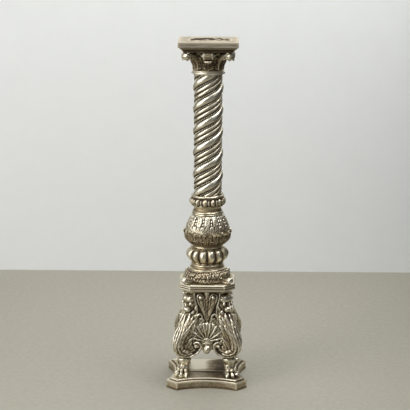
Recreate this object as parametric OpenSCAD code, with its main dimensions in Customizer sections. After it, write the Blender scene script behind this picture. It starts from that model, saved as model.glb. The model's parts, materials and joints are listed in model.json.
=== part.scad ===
// Torchere candle stand: a twisted column on turned knops, carried by four
// console legs with lion paws on a concave-sided plinth. Millimetres, +Z up,
// origin at the middle of the plinth's underside, front face towards -Y.

/* [Base] */
// Width of the plinth across its flat sides
plinth_w = 256; // [246:1:266]
// Height of the plinth's outer rim
plinth_h = 26; // [22:1:32]
// Flat left on each side of a plinth corner by its chamfer
plinth_chamfer = 33; // [28:1:37]
// Depth of the hollow in each side of the plinth
plinth_hollow = 24; // [18:1:28]
// Rise of the step on top of the plinth
step_h = 5.5; // [4:0.5:8]
// Width of the rim left outside the step
rim_w = 10; // [7:1:12]
// Where the joint between the two plinth boards lies, in front of the axis
board_joint = 27; // [20:1:35]

/* [Paws and ankles] */
// Distance of a paw's middle from the axis, along the diagonal
paw_out = 101; // [98:1:104]
// Height of a paw
paw_h = 39; // [36:1:42]
// Radius of a paw at its wrist
wrist_r = 15; // [14:0.5:16]
// Length of a paw's outer toe bones
toe_l = 21; // [18:1:23]
// Radius of a toe
toe_r = 7; // [6:0.5:7.5]
// Toes on each paw
toe_count = 4; // [3:1:4]
// Height of an ankle cup
ankle_h = 23.5; // [20:0.5:28]
// Radius of an ankle cup at its widest
ankle_r = 22; // [20:0.5:24]

/* [Console legs] */
// Height of a leg
leg_h = 216; // [200:1:230]
// Half width across the legs at their widest
leg_bulge = 110; // [105:1:113]
// Width of the band that runs round a C-scroll
band_w = 9; // [6:0.5:11]
// Depth from the band down to the carved leaf
band_d = 5; // [3:0.5:7]
// Width of the flat where two faces of a leg meet
corner_flat = 16; // [12:1:20]
// How far the face of a leg falls back towards its inner scroll
face_hollow = 26; // [20:1:30]
// Radius of the roll at a leg's head
head_r = 12; // [9:0.5:13]
// Length of the roll at a leg's head
head_l = 34; // [28:1:38]
// Radius of the smaller roll below it
bud_r = 7.5; // [6:0.5:9]
// Length of the smaller roll
bud_l = 24; // [18:1:28]
// Distance of the smaller roll's middle from the axis, along the diagonal
bud_out = 95; // [92:1:98]

/* [Core and face panels] */
// Half width of the square core
core_hw = 54; // [50:1:56]
// Height of the core's underside above the legs' underside
core_lift = 18; // [14:1:24]
// Thickness of a face panel's ground
panel_t = 12; // [8:1:15]
// Ribs in a shell
shell_ribs = 8; // [6:1:12]
// Radius of a shell
shell_r = 58; // [50:1:62]
// Angle that a shell's ribs spread over
shell_spread = 150; // [130:1:160]
// Radius of a rib at the shell's rim
rib_end_r = 6.4; // [5:0.2:7]
// How far a shell's ribs lean out from their ground
shell_lean = 7; // [0:1:10]
// Radius of a shell's pendant bead
pendant_r = 14; // [11:0.5:15]
// Length of a pendant bead
pendant_l = 43; // [38:1:48]

/* [Platform] */
// Width of the platform across its flats
platform_w = 178; // [172:1:184]
// Height of the platform
platform_h = 24; // [20:1:30]
// Chamfer on a platform corner, along one side
platform_chamfer = 33; // [28:1:38]

/* [Knops] */
// Height of the foliage drum
drum_h = 35.5; // [30:0.5:42]
// Radius of the foliage drum
drum_r = 71.5; // [68:0.5:73]
// Height of the lower spool
lower_spool_h = 19.5; // [17:0.5:24]
// Height of the melon knop
melon_h = 52.5; // [46:0.5:60]
// Radius of the melon knop
melon_r = 68; // [65:0.5:71]
// Lobes round the melon knop
melon_lobes = 14; // [12:1:16]
// Height of the ring between melon and bulb
ring_h = 7; // [5:0.5:10]
// Height of the bulb with its leaf cup
bulb_h = 95; // [88:1:104]
// Radius of the bulb
bulb_r = 69; // [66:0.5:70]
// Height of the leaf cup
cup_h = 43; // [38:1:46]
// Ribs round the bulb, and leaves round its cup
bulb_ribs = 14; // [12:1:16]
// Height of the upper spool
upper_spool_h = 32; // [28:1:38]
// Radius of the upper spool's neck
spool_r = 43; // [40:0.5:45]

/* [Column] */
// Length of the twisted shaft
shaft_l = 382.5; // [360:0.5:410]
// Radius to the crest of a narrow strand
shaft_r = 44.8; // [43:0.2:46]
// How much further a wide strand stands out
strand_rise = 3.1; // [2:0.1:3.6]
// How much lower a beaded cord lies than a narrow strand
cord_drop = 2.4; // [1.5:0.1:3.5]
// Angle of the section that a wide strand takes
wide_span = 64; // [58:1:70]
// Angle of the section that a beaded cord takes
cord_span = 18; // [14:1:22]
// Depth of the grooves between strands
groove_d = 6; // [4:0.5:8]
// Height in which the strands make one full turn
shaft_lead = 138.5; // [120:0.5:160]
// Where a wide strand's crest stands at the shaft's foot, in degrees from +X
crest_turn = 15; // [0:1:30]
// Height of the bead collar
collar_h = 36.5; // [32:0.5:42]
// Radius of the bead collar over its beads
collar_r = 58.7; // [57:0.1:60]
// Large beads round the collar
bead_count = 13; // [11:1:14]

/* [Capital] */
// Height of the neck ring
neck_h = 13; // [11:0.5:16]
// Radius of the neck ring
neck_r = 50.5; // [49:0.5:53]
// Height of the capital
capital_h = 61; // [56:1:68]
// Radius of the bell at its top
bell_r = 66; // [62:1:68]
// Radius of a corner volute
volute_r = 11.5; // [10:0.5:12.5]
// Length of a corner volute
volute_l = 20; // [16:1:24]
// Distance of a volute's middle from the axis, along the diagonal
volute_out = 96; // [93:1:98]
// Radius of the roll in the middle of a face
roll_r = 11.5; // [10:0.5:12]
// Length of the roll in the middle of a face
roll_l = 32; // [26:1:36]

/* [Top board] */
// Height of the moulding under the board
moulding_h = 15; // [12:0.5:20]
// Width of the moulding at its top
moulding_w = 176; // [170:1:180]
// Width of the top board
board_w = 186; // [182:1:196]
// Thickness of the top board
board_t = 16.5; // [14:0.5:22]
// Width of the hollow in the board
hollow_w = 126; // [100:1:136]
// Length of the hollow from front to back
hollow_l = 112; // [90:1:130]
// How far the hollow's middle lies to the right of the axis
hollow_shift = 4; // [0:1:10]
// Depth of the hollow in the board
hollow_d = 7; // [5.5:0.5:9]

/* [Joinery] */
// Radius of the rod through the knops
rod_r = 12; // [10:0.5:14]
// Radius of the tenons on the shaft
tenon_r = 17; // [15:0.5:19]
// Length of the tenons on the shaft
tenon_l = 48; // [40:1:52]
// Radius of the dowel in the capital
dowel_r = 8; // [6:0.5:10]
// Radius of the pegs in the paws
peg_r = 5; // [4:0.5:6]
// Radial clearance of pegs, rods and tenons in their holes
fit_gap = 0.2; // [0.1:0.05:0.4]
// Side clearance between carved pieces
side_gap = 0.3; // [0.2:0.05:0.5]

/* [Hidden] */

$fn = 64;
eps = 0.01;
silver = "#b3a98c";
shade = "#8f8467";
bright = "#c9c1a8";
raw_wood = "#9d917c";

// Levels, from the floor up
z_step = plinth_h;
z_paw = z_step + step_h;
z_ankle = z_paw + paw_h;
z_leg = z_ankle + ankle_h;
z_core = z_leg + core_lift;
z_platform = z_leg + leg_h;
z_drum = z_platform + platform_h;
z_lower = z_drum + drum_h;
z_melon = z_lower + lower_spool_h;
z_ring = z_melon + melon_h;
z_bulb = z_ring + ring_h;
z_upper = z_bulb + bulb_h;
z_collar = z_upper + upper_spool_h;
z_shaft = z_collar + collar_h;
z_neck = z_shaft + shaft_l;
z_capital = z_neck + neck_h;
z_moulding = z_capital + capital_h;
z_board = z_moulding + moulding_h;

// Seats shared by neighbours
ring_seat_r = 49;
lower_seat_r = 58;
cup_floor = 20;
ankle_seat_r = 17;
paw_x = paw_out / sqrt(2);
peg_low = 12;
peg_rise = 24;
rod_low = z_platform - 60;
rod_top = z_upper + 12;
socket_end = 1;

// A smooth line through the points p, n steps to a span
function knot(p, i) = p[max(0, min(len(p) - 1, i))];
function blend(a, b, c, d, t) =
    0.5 * (2 * b + (c - a) * t + (2 * a - 5 * b + 4 * c - d) * t * t
    + (3 * b - a - 3 * c + d) * t * t * t);
function smooth(p, n) = concat(
    [for (i = [0 : len(p) - 2], k = [0 : n - 1])
        blend(knot(p, i - 1), knot(p, i), knot(p, i + 1), knot(p, i + 2), k / n)],
    [knot(p, len(p) - 1)]);
function unit(v) = v / norm(v);
// The line p moved sideways by d, to the left of its run
function beside(p, d) = [for (i = [0 : len(p) - 1])
    let (t = unit(knot(p, i + 1) - knot(p, i - 1))) p[i] + d * [-t[1], t[0]]];
function backwards(p) = [for (i = [len(p) - 1 : -1 : 0]) p[i]];

// A turned piece from radius-height pairs, first pair lowest
module turned(p) {
    rotate_extrude() polygon(concat([[0, p[0][1]]], p, [[0, p[len(p) - 1][1]]]));
}

// A spindle with pointed ends on the Z axis, r thick in its middle
module spindle(r, half) {
    arc_r = (r * r + half * half) / (2 * r);
    rotate_extrude() intersection() {
        translate([r - arc_r, 0]) circle(arc_r);
        translate([0, -half * 0.96]) square([r + 1, half * 1.92]);
    }
}

// An egg-shaped bead standing on the Z axis
module egg(r, half) {
    turned(smooth([[r * 0.2, -half], [r * 0.72, -half * 0.72], [r, 0],
                   [r * 0.72, half * 0.72], [r * 0.2, half]], 4));
}

// A square moulding: its section swept round four sides and mitred
module mitred(section, reach) {
    outline = concat(section, [for (q = backwards(section)) [-q[0], q[1]]]);
    intersection_for (turn = [0, 90]) rotate([0, 0, turn])
        rotate([90, 0, 0]) translate([0, 0, -reach]) linear_extrude(2 * reach) polygon(outline);
}

// The same section on the corners, moved in or out by shift
module cornered(section, shift, reach) {
    outline = concat([for (q = section) q + [shift, 0]],
                     [for (q = backwards(section)) [-q[0] - shift, q[1]]]);
    intersection_for (turn = [45, 135]) rotate([0, 0, turn])
        rotate([90, 0, 0]) translate([0, 0, -reach]) linear_extrude(2 * reach) polygon(outline);
}

// What is copied to corner i stands in the front left corner first
module corner(i) {
    rotate([0, 0, 90 * i]) children();
}

// Plinth: two boards, one step, four concave sides
// Flat left beside a corner before the side curves in
cove_flat = 1.5;
cove_half = plinth_w / 2 - plinth_chamfer - cove_flat;
cove_r = (cove_half * cove_half + plinth_hollow * plinth_hollow) / (2 * plinth_hollow);
cove_out = plinth_w / 2 - plinth_hollow + cove_r;

module plinth_plan(inset) {
    half = plinth_w / 2 - inset;
    corner_half = (plinth_w - plinth_chamfer) / sqrt(2) - inset;
    difference() {
        intersection() {
            square(2 * half, center = true);
            rotate(45) square(2 * corner_half, center = true);
        }
        for (i = [0 : 3]) rotate(90 * i) translate([0, -cove_out]) circle(cove_r + inset, $fn = 128);
    }
}

module plinth_slab() {
    difference() {
        union() {
            linear_extrude(plinth_h) plinth_plan(0);
            translate([0, 0, plinth_h]) linear_extrude(step_h) plinth_plan(rim_w);
        }
        for (i = [0 : 3]) corner(i) translate([-paw_x, -paw_x, peg_low])
            cylinder(r = peg_r + fit_gap, h = plinth_h + step_h);
    }
}

module plinth_front() {
    color(shade) intersection() {
        plinth_slab();
        translate([-plinth_w, -plinth_w - board_joint, -eps]) cube([2 * plinth_w, plinth_w, 2 * plinth_h]);
    }
}

module plinth_rear() {
    color(shade) intersection() {
        plinth_slab();
        translate([-plinth_w, -board_joint, -eps]) cube([2 * plinth_w, 2 * plinth_w, 2 * plinth_h]);
    }
}

// Paws: a wrist on the ankle's seat, with fanned toes of two bones
toe_fan = 34;
paw_body = smooth([[wrist_r + 6, 0], [wrist_r + 7, paw_h * 0.2], [wrist_r + 5, paw_h * 0.5],
                   [wrist_r + 1, paw_h * 0.8], [wrist_r - 1, paw_h]], 4);

module toe() {
    translate([toe_l * 0.62, 0, paw_h * 0.52]) rotate([0, 128, 0]) spindle(toe_r, toe_l * 0.62);
    translate([toe_l + 3, 0, toe_r]) sphere(toe_r, $fn = 32);
}

module paw(i) {
    color(bright) corner(i) difference() {
        translate([-paw_x, -paw_x, z_paw]) rotate([0, 0, 225]) intersection() {
            union() {
                turned(paw_body);
                for (k = [0 : toe_count - 1])
                    rotate([0, 0, toe_fan * (k - (toe_count - 1) / 2)]) toe();
            }
            translate([-plinth_w / 2, -plinth_w / 2, 0]) cube([plinth_w, plinth_w, paw_h]);
        }
        translate([-paw_x, -paw_x, z_paw - eps]) cylinder(r = peg_r + fit_gap, h = paw_h + 2 * eps);
    }
}

// Ankles: a turned cup between paw and leg
module ankle(i) {
    color(silver) corner(i) translate([-paw_x, -paw_x, z_ankle]) difference() {
        turned(smooth([[wrist_r - 1, 0], [wrist_r, ankle_h * 0.12], [ankle_r - 3, ankle_h * 0.45],
                       [ankle_r, ankle_h * 0.75], [ankle_r - 1.5, ankle_h * 0.92],
                       [ankle_seat_r, ankle_h]], 4));
        translate([0, 0, -eps]) cylinder(r = peg_r + fit_gap, h = ankle_h + 2 * eps);
    }
}

// Console legs. The outline is seen square on to a face: distance out from
// the middle, and height as a part of the leg's own.
function leg_point(out, part) = [out, part * leg_h];
outer_line = smooth([leg_point(leg_bulge - 50, 0), leg_point(leg_bulge - 30, 0.012),
    leg_point(leg_bulge - 13.5, 0.05), leg_point(leg_bulge - 4, 0.125), leg_point(leg_bulge, 0.22),
    leg_point(leg_bulge - 2, 0.3), leg_point(leg_bulge - 7, 0.37), leg_point(leg_bulge - 14, 0.445),
    leg_point(leg_bulge - 21.5, 0.52), leg_point(leg_bulge - 29, 0.59), leg_point(leg_bulge - 34.5, 0.65),
    leg_point(leg_bulge - 38, 0.73), leg_point(leg_bulge - 41, 0.83), leg_point(leg_bulge - 39, 0.93),
    leg_point(leg_bulge - 35, 1)], 3);
scroll_x = 32;
scroll_z = 41;
scroll_r = 14;
scroll_line = smooth([leg_point(leg_bulge - 50, 0), [scroll_x + 12, 3.5], [scroll_x - 4, 14],
    [scroll_x - 12, 27], [scroll_x - scroll_r, scroll_z], [scroll_x - 9, scroll_z + 11],
    [scroll_x, scroll_z + scroll_r]], 3);
inner_line = smooth([[scroll_x, scroll_z + scroll_r], [scroll_x + 10, scroll_z + 16],
    leg_point(46, 0.33), leg_point(43, 0.43), leg_point(37, 0.52), leg_point(34, 0.61),
    leg_point(36, 0.75), leg_point(42, 0.86), leg_point(43, 1)], 3);
band_start = 30;
band_line = concat([for (i = [band_start : -1 : 0]) outer_line[i]],
                   [for (i = [1 : len(scroll_line) - 1]) scroll_line[i]]);
leg_outline = concat(outer_line, backwards(inner_line), backwards(scroll_line));

// A face drawing given the depth of the whole leg, on the front and the left side
module on_face() {
    mirror([1, 0, 0]) rotate([90, 0, 0]) linear_extrude(2 * leg_bulge) children();
}
module on_both_faces() {
    on_face() children();
    mirror([1, -1, 0]) on_face() children();
}

// The block that a leg is carved from, sunk below the band by d
module leg_block(d) {
    diagonal = concat([for (q = outer_line) [q[0] * sqrt(2) - corner_flat / sqrt(2) - d * 0.7, q[1]]],
                      [[0, leg_h], [0, 0]]);
    sunk = concat([for (q = beside(outer_line, d)) [q[0], max(0, min(leg_h, q[1]))]],
                  [[0, leg_h], [0, 0]]);
    hollow_half = leg_bulge - corner_flat;
    hollow_r = (hollow_half * hollow_half + face_hollow * face_hollow) / (2 * face_hollow);
    difference() {
        intersection() {
            on_face() polygon(leg_outline);
            mirror([1, -1, 0]) on_face() polygon(leg_outline);
            on_face() polygon(sunk);
            mirror([1, -1, 0]) on_face() polygon(sunk);
            rotate([0, 0, 45]) rotate([90, 0, 0]) translate([0, 0, -2 * leg_bulge])
                linear_extrude(4 * leg_bulge) mirror([1, 0]) polygon(diagonal);
        }
        for (side = [0, 1]) mirror([side, -side, 0])
            translate([0, -leg_bulge + face_hollow - hollow_r + d, -eps])
            cylinder(r = hollow_r, h = leg_h + 2 * eps, $fn = 128);
    }
}

module leg(i) {
    color(silver) corner(i) difference() {
        translate([0, 0, z_leg]) union() {
            leg_block(band_d);
            intersection() {
                leg_block(0);
                on_both_faces() polygon(concat(band_line, backwards(beside(band_line, -band_w))));
            }
            translate([-paw_x, -paw_x, 0]) cylinder(r = ankle_seat_r, h = core_lift);
            for (side = [0, 1]) mirror([side, -side, 0])
                translate([-scroll_x, -core_hw - 30, scroll_z]) rotate([90, 0, 0])
                cylinder(r = scroll_r * 0.5, h = 12, center = true);
            rotate([0, 0, 225]) {
                translate([core_hw * sqrt(2) + 8, 0, leg_h * 0.88]) rotate([90, 0, 0])
                    cylinder(r = head_r, h = head_l, center = true);
                translate([bud_out, 0, leg_h * 0.74]) rotate([90, 0, 0])
                    cylinder(r = bud_r, h = bud_l, center = true);
            }
        }
        translate([-core_hw, -core_hw, 0]) cube([2 * core_hw, 2 * core_hw, 2 * z_platform]);
        translate([-paw_x, -paw_x, z_leg - eps]) cylinder(r = peg_r + fit_gap, h = peg_rise + socket_end);
    }
}

// Core: the block that the legs and panels are fixed to
module core_block() {
    color(shade) difference() {
        translate([-core_hw, -core_hw, z_core])
            cube([2 * core_hw, 2 * core_hw, z_platform - z_core]);
        translate([0, 0, rod_low]) cylinder(r = rod_r + fit_gap, h = z_platform);
    }
}

// Face panels: a ground between two legs, a shell, two petals and a pendant
shell_z = 56;
petal_low = 124;
petal_top = 205;
pendant_z = 34;
scroll_side = 12;
panel_edge = concat([[scroll_x - scroll_r - 5, core_lift + 2], [scroll_x - scroll_r - 1.5, core_lift + 8]],
    [for (i = [scroll_side : len(scroll_line) - 1]) scroll_line[i] + [-side_gap, side_gap]],
    [for (i = [1 : len(inner_line) - 1]) inner_line[i] + [-side_gap, side_gap]]);

module shell_rib(turn) {
    rotate([0, turn, 0]) rotate([shell_lean, 0, 0]) {
        translate([0, 0, shell_r * 0.2]) cylinder(r1 = 1.8, r2 = rib_end_r, h = shell_r * 0.72, $fn = 24);
        translate([0, 0, shell_r * 0.92]) sphere(rib_end_r, $fn = 24);
    }
}

module petal() {
    line = smooth([[3, petal_low], [9, petal_low + 18], [17, petal_low + 46], [23, petal_top - 12],
                   [20, petal_top - 2], [12, petal_top - 4]], 3);
    back = smooth([[12, petal_top - 4], [9, petal_top - 14], [8, petal_low + 44], [3, petal_low + 14],
                   [3, petal_low]], 3);
    rotate([90, 0, 0]) difference() {
        linear_extrude(10) polygon(concat(line, back));
        translate([15, petal_top - 26, 10]) sphere(6, $fn = 32);
    }
    translate([15, -9, petal_top - 8]) sphere(8, $fn = 32);
}

module shell(i) {
    color(silver) corner(i) translate([0, -core_hw, z_leg]) intersection() {
        union() {
            rotate([90, 0, 0]) linear_extrude(panel_t)
                polygon(concat(panel_edge, [for (q = backwards(panel_edge)) [-q[0], q[1]]]));
            translate([0, -panel_t, shell_z]) for (k = [0 : shell_ribs - 1])
                shell_rib(shell_spread * (k / (shell_ribs - 1) - 0.5));
            for (side = [0, 1]) mirror([side, 0, 0]) translate([0, -panel_t, 0]) petal();
            translate([0, -panel_t - 9, pendant_z]) egg(pendant_r, pendant_l / 2);
        }
        translate([-leg_bulge, -leg_bulge, 0]) cube([2 * leg_bulge, leg_bulge, leg_h]);
    }
}

// Platform: a moulded square with chamfered corners
platform_hw = platform_w / 2;
fillet_in = 3.5;
platform_section = concat([[platform_hw - 10, 0]],
    smooth([[platform_hw - 7, 2.5], [platform_hw - 2, 4.5], [platform_hw, 7.5], [platform_hw - 0.5, 10]], 3),
    [[platform_hw - fillet_in, 10.5], [platform_hw - fillet_in, 12]],
    smooth([[platform_hw - 1, 12.5], [platform_hw - 0.5, 14.5], [platform_hw - 1, 16.5]], 2),
    [[platform_hw - fillet_in, 17], [platform_hw - fillet_in, 18.5]],
    smooth([[platform_hw - 2, 19], [platform_hw - 1.5, 21], [platform_hw - 3.5, platform_h]], 2));

module platform() {
    color(bright) difference() {
        translate([0, 0, z_platform]) intersection() {
            mitred(platform_section, platform_hw + 1);
            cornered(platform_section, (platform_w - platform_chamfer) / sqrt(2) - platform_hw, platform_w);
        }
        translate([0, 0, z_platform - eps]) cylinder(r = rod_r + fit_gap, h = platform_h + 2 * eps);
    }
}

// Foliage drum and its four corner spurs
module foliage_drum() {
    color(shade) translate([0, 0, z_drum]) difference() {
        turned(concat(smooth([[drum_r - 4, 0], [drum_r - 1, 3], [drum_r, drum_h * 0.25],
                       [drum_r - 2, drum_h * 0.55], [drum_r - 6, drum_h * 0.82],
                       [lower_seat_r + 2, drum_h * 0.97]], 4), [[lower_seat_r, drum_h]]));
        translate([0, 0, -eps]) cylinder(r = rod_r + fit_gap, h = drum_h + 2 * eps);
    }
}

module spur(i) {
    spur_out = drum_r + 14;
    color(bright) corner(i) rotate([0, 0, 225]) difference() {
        translate([0, 0, z_drum]) intersection() {
            union() {
                rotate([90, 0, 0]) linear_extrude(16, center = true)
                    polygon(smooth([[drum_r - 8, 0], [spur_out + 9, 0], [spur_out + 12, 5],
                                    [spur_out + 6, 12], [spur_out - 4, 17], [drum_r - 8, 27]], 4));
                translate([spur_out + 5, 0, 8]) rotate([90, 0, 0]) cylinder(r = 7.5, h = 20, center = true);
            }
            translate([0, -drum_r, 0]) cube([2 * drum_r, 2 * drum_r, drum_h]);
        }
        translate([0, 0, z_drum]) turned(concat([[drum_r - 4 + side_gap, -1]],
            smooth([[drum_r - 4 + side_gap, 0], [drum_r - 1 + side_gap, 3],
                    [drum_r + side_gap, drum_h * 0.25], [drum_r - 2 + side_gap, drum_h * 0.55],
                    [drum_r - 6 + side_gap, drum_h * 0.82], [lower_seat_r + 2 + side_gap, drum_h * 0.97]], 4),
            [[lower_seat_r, drum_h + 1]]));
    }
}

// Lower spool: torus, scotia and fillet
module lower_spool() {
    color(silver) translate([0, 0, z_lower]) difference() {
        turned(concat([[lower_seat_r, 0]],
            smooth([[lower_seat_r + 1, 2], [lower_seat_r, 5], [lower_seat_r - 2, 6]], 3),
            smooth([[lower_seat_r - 4, 7], [lower_seat_r - 6, 9.5], [lower_seat_r - 7.5, lower_spool_h * 0.66],
                    [lower_seat_r - 7, lower_spool_h * 0.78]], 3),
            [[lower_seat_r - 5, lower_spool_h * 0.82], [lower_seat_r - 5, lower_spool_h * 0.96],
             [ring_seat_r + 2, lower_spool_h]]));
        translate([0, 0, -eps]) cylinder(r = rod_r + fit_gap, h = lower_spool_h + 2 * eps);
    }
}

// Melon knop: upright spindles round a drum
module melon_knop() {
    lobe_r = 16;
    lobe_out = melon_r - lobe_r;
    color(silver) translate([0, 0, z_melon]) difference() {
        intersection() {
            union() {
                turned(smooth([[ring_seat_r - 2, 0], [lobe_out + 5, melon_h * 0.22], [lobe_out + 9, melon_h * 0.5],
                               [lobe_out + 5, melon_h * 0.78], [ring_seat_r - 2, melon_h]], 4));
                for (k = [0 : melon_lobes - 1]) rotate([0, 0, 360 / melon_lobes * (k + 0.5) + 90])
                    translate([lobe_out, 0, melon_h / 2]) spindle(lobe_r, melon_h / 2 + 3);
            }
            cylinder(r = melon_r + 1, h = melon_h);
        }
        translate([0, 0, -eps]) cylinder(r = rod_r + fit_gap, h = melon_h + 2 * eps);
    }
}

// Ring between melon and bulb
module knop_ring() {
    color(bright) translate([0, 0, z_ring]) difference() {
        turned(smooth([[ring_seat_r - 3, 0], [ring_seat_r - 0.5, ring_h * 0.25], [ring_seat_r, ring_h * 0.5],
                       [ring_seat_r - 0.5, ring_h * 0.75], [ring_seat_r - 3, ring_h]], 4));
        translate([0, 0, -eps]) cylinder(r = rod_r + fit_gap, h = ring_h + 2 * eps);
    }
}

// Leaf cup: a bowl with a scalloped, pointed lip round the bulb's lower half
cup_lip_r = bulb_r + 11;
cup_line = smooth([[ring_seat_r - 2, 0], [ring_seat_r + 2, cup_h * 0.07], [bulb_r - 9.5, cup_h * 0.22],
                   [bulb_r - 2.5, cup_h * 0.37], [bulb_r + 1.5, cup_h * 0.52], [bulb_r + 3.5, cup_h * 0.68],
                   [bulb_r + 5, cup_h * 0.86], [cup_lip_r, cup_h]], 4);
// The rods that cut the scallops between its leaves
scallop_r = cup_h * 0.3;
scallop_l = bulb_r - 9;
scallop_out = bulb_r + 19;
scallop_tilt = 62;

module leaf_cup() {
    color(shade) translate([0, 0, z_bulb]) difference() {
        turned(concat(cup_line, [[cup_lip_r - 1.5, cup_h], [bulb_r + 3, cup_h - 6],
                                 [bulb_r + side_gap, cup_h - 11], [bulb_r + side_gap - 1, cup_floor]]));
        for (k = [0 : bulb_ribs - 1]) rotate([0, 0, 360 / bulb_ribs * (k + 0.5)])
            translate([scallop_out, 0, cup_h + 1]) rotate([0, -scallop_tilt, 0])
            cylinder(r = scallop_r, h = scallop_l, center = true, $fn = 48);
        translate([0, 0, -eps]) cylinder(r = rod_r + fit_gap, h = cup_floor + 2 * eps);
    }
}

// Bulb: a turned knop with upright ribs
bulb_top = bulb_h - cup_floor;
rib_w = 12;
rib_d = 2;
bulb_line = smooth([[bulb_r - 0.5, 16], [bulb_r, 26], [bulb_r - 1, 38], [bulb_r - 5, 52],
                    [bulb_r - 13, 66], [ring_seat_r + 1, bulb_top - 1]], 5);
module bulb() {
    color(silver) translate([0, 0, z_bulb + cup_floor]) difference() {
        union() {
            turned(concat([[bulb_r - rib_d, 0]], [for (q = bulb_line) q - [rib_d, 0]],
                          [[ring_seat_r - 1, bulb_top]]));
            intersection() {
                turned(bulb_line);
                for (k = [0 : bulb_ribs - 1]) rotate([0, 0, 360 / bulb_ribs * k - 90])
                    translate([0, -rib_w / 2, 0]) cube([bulb_r + 1, rib_w, bulb_top - 1]);
            }
        }
        translate([0, 0, -eps]) cylinder(r = rod_r + fit_gap, h = bulb_top + 2 * eps);
    }
}

// Upper spool: two rings under a neck
module upper_spool() {
    seat = tenon_r + fit_gap;
    color(silver) translate([0, 0, z_upper]) difference() {
        turned(concat([[ring_seat_r - 1, 0]],
            smooth([[ring_seat_r + 0.5, 2], [ring_seat_r + 1, 4], [ring_seat_r, 6.5]], 3),
            smooth([[ring_seat_r - 2, 7.5], [ring_seat_r, 9], [ring_seat_r, 12], [ring_seat_r - 3, 15]], 3),
            smooth([[spool_r + 1, 17], [spool_r, upper_spool_h * 0.7], [spool_r + 1, upper_spool_h * 0.9]], 3),
            [[spool_r + 3, upper_spool_h]]));
        translate([0, 0, -eps]) cylinder(r = rod_r + fit_gap, h = rod_top - z_upper + 2 * eps);
        translate([0, 0, z_shaft - tenon_l - z_upper - socket_end]) cylinder(r = seat, h = upper_spool_h);
    }
}

// Bead collar: large and narrow beads between two fillets
module bead_collar() {
    bead_r = 9;
    bead_out = collar_r - bead_r;
    color(bright) translate([0, 0, z_collar]) difference() {
        union() {
            turned(concat([[spool_r + 3, 0]], smooth([[spool_r + 7, 1.5], [spool_r + 7.5, 4], [spool_r + 6, 6]], 3),
                [[bead_out + 2, 8], [bead_out + 4, collar_h * 0.45], [bead_out + 2, collar_h - 11]],
                smooth([[bead_out, collar_h - 6], [bead_out + 2, collar_h - 4], [bead_out + 2, collar_h - 1.5]], 3),
                [[bead_out, collar_h]]));
            for (k = [0 : bead_count - 1]) rotate([0, 0, 360 / bead_count * k - 99]) {
                translate([bead_out, 0, collar_h * 0.42]) spindle(bead_r, 14);
                rotate([0, 0, 180 / bead_count]) translate([bead_out + 3, 0, collar_h * 0.42]) spindle(4, 10);
            }
        }
        translate([0, 0, -eps]) cylinder(r = tenon_r + fit_gap, h = collar_h + 2 * eps);
    }
}

// Twisted shaft: two wide strands, each between beaded cords, and two pairs of narrow ones
slices_per_turn = 26;
narrow_span = (180 - wide_span - 2 * cord_span) / 2;
groove_r = shaft_r - groove_d;
// Half a turn of the section: the span, the crest's radius and the points of each strand
strands = [[wide_span, shaft_r + strand_rise, 6], [cord_span, shaft_r - cord_drop, 2],
           [narrow_span, shaft_r, 4], [narrow_span, shaft_r, 4], [cord_span, shaft_r - cord_drop, 2]];
function span_before(k) = k == 0 ? 0 : span_before(k - 1) + strands[k - 1][0];
section_points = [for (half = [0, 180], k = [0 : len(strands) - 1], j = [0 : strands[k][2] - 1])
    let (part = j / strands[k][2], x = 2 * part - 1,
         r = groove_r + (strands[k][1] - groove_r) * sqrt(1 - x * x),
         turn = crest_turn - wide_span / 2 + half + span_before(k) + strands[k][0] * part)
    r * [cos(turn), sin(turn)]];

module twist_shaft() {
    turns = shaft_l / shaft_lead;
    color(bright) {
        translate([0, 0, z_shaft]) linear_extrude(shaft_l, twist = -360 * turns,
            slices = round(slices_per_turn * turns), $fn = len(section_points)) polygon(section_points);
        for (z = [z_shaft - tenon_l, z_neck]) translate([0, 0, z]) cylinder(r = tenon_r, h = tenon_l);
    }
}

// Neck ring
module neck_ring() {
    color(bright) translate([0, 0, z_neck]) difference() {
        turned(concat([[neck_r - 4, 0]], smooth([[neck_r - 1, 1.5], [neck_r, 4.5], [neck_r - 1, 7.5],
            [neck_r - 4, 9]], 3), [[neck_r - 3, 10], [neck_r - 3.5, neck_h - 1], [neck_r - 5, neck_h]]));
        translate([0, 0, -eps]) cylinder(r = tenon_r + fit_gap, h = neck_h + 2 * eps);
    }
}

// Capital: a bell with eight upright leaves
bell_line = smooth([[neck_r - 6, 0], [neck_r - 5, capital_h * 0.2], [neck_r, capital_h * 0.45],
                    [neck_r + 8, capital_h * 0.7], [bell_r, capital_h * 0.95]], 4);

leaf_t = 4;
leaf_top = capital_h * 0.62;
// The space that bell and leaves take, with the clearance round it
bell_space = concat([for (q = bell_line) q + [side_gap + (q[1] < leaf_top + 2 ? leaf_t : 0), 0]],
                    [[bell_r + side_gap, capital_h + 1]]);

module leaf_blade(w, h) {
    rotate([90, 0, 90]) linear_extrude(bell_r + 14) polygon(smooth([[-w * 0.3, 0], [-w * 0.5, h * 0.3],
        [-w * 0.46, h * 0.6], [-w * 0.28, h * 0.85], [0, h], [w * 0.28, h * 0.85], [w * 0.46, h * 0.6],
        [w * 0.5, h * 0.3], [w * 0.3, 0]], 3));
}

module capital_bell() {
    color(shade) translate([0, 0, z_capital]) difference() {
        union() {
            turned(concat(bell_line, [[bell_r, capital_h]]));
            intersection() {
                turned(concat([for (q = bell_line) q + [leaf_t, 0]], [[bell_r + leaf_t, capital_h * 0.96]]));
                for (k = [0 : 7]) rotate([0, 0, 45 * k]) leaf_blade(34, leaf_top);
            }
        }
        translate([0, 0, -eps]) cylinder(r = tenon_r + fit_gap, h = tenon_l - neck_h + socket_end);
        translate([0, 0, capital_h - 11]) cylinder(r = dowel_r + fit_gap, h = 12);
    }
}

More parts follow.
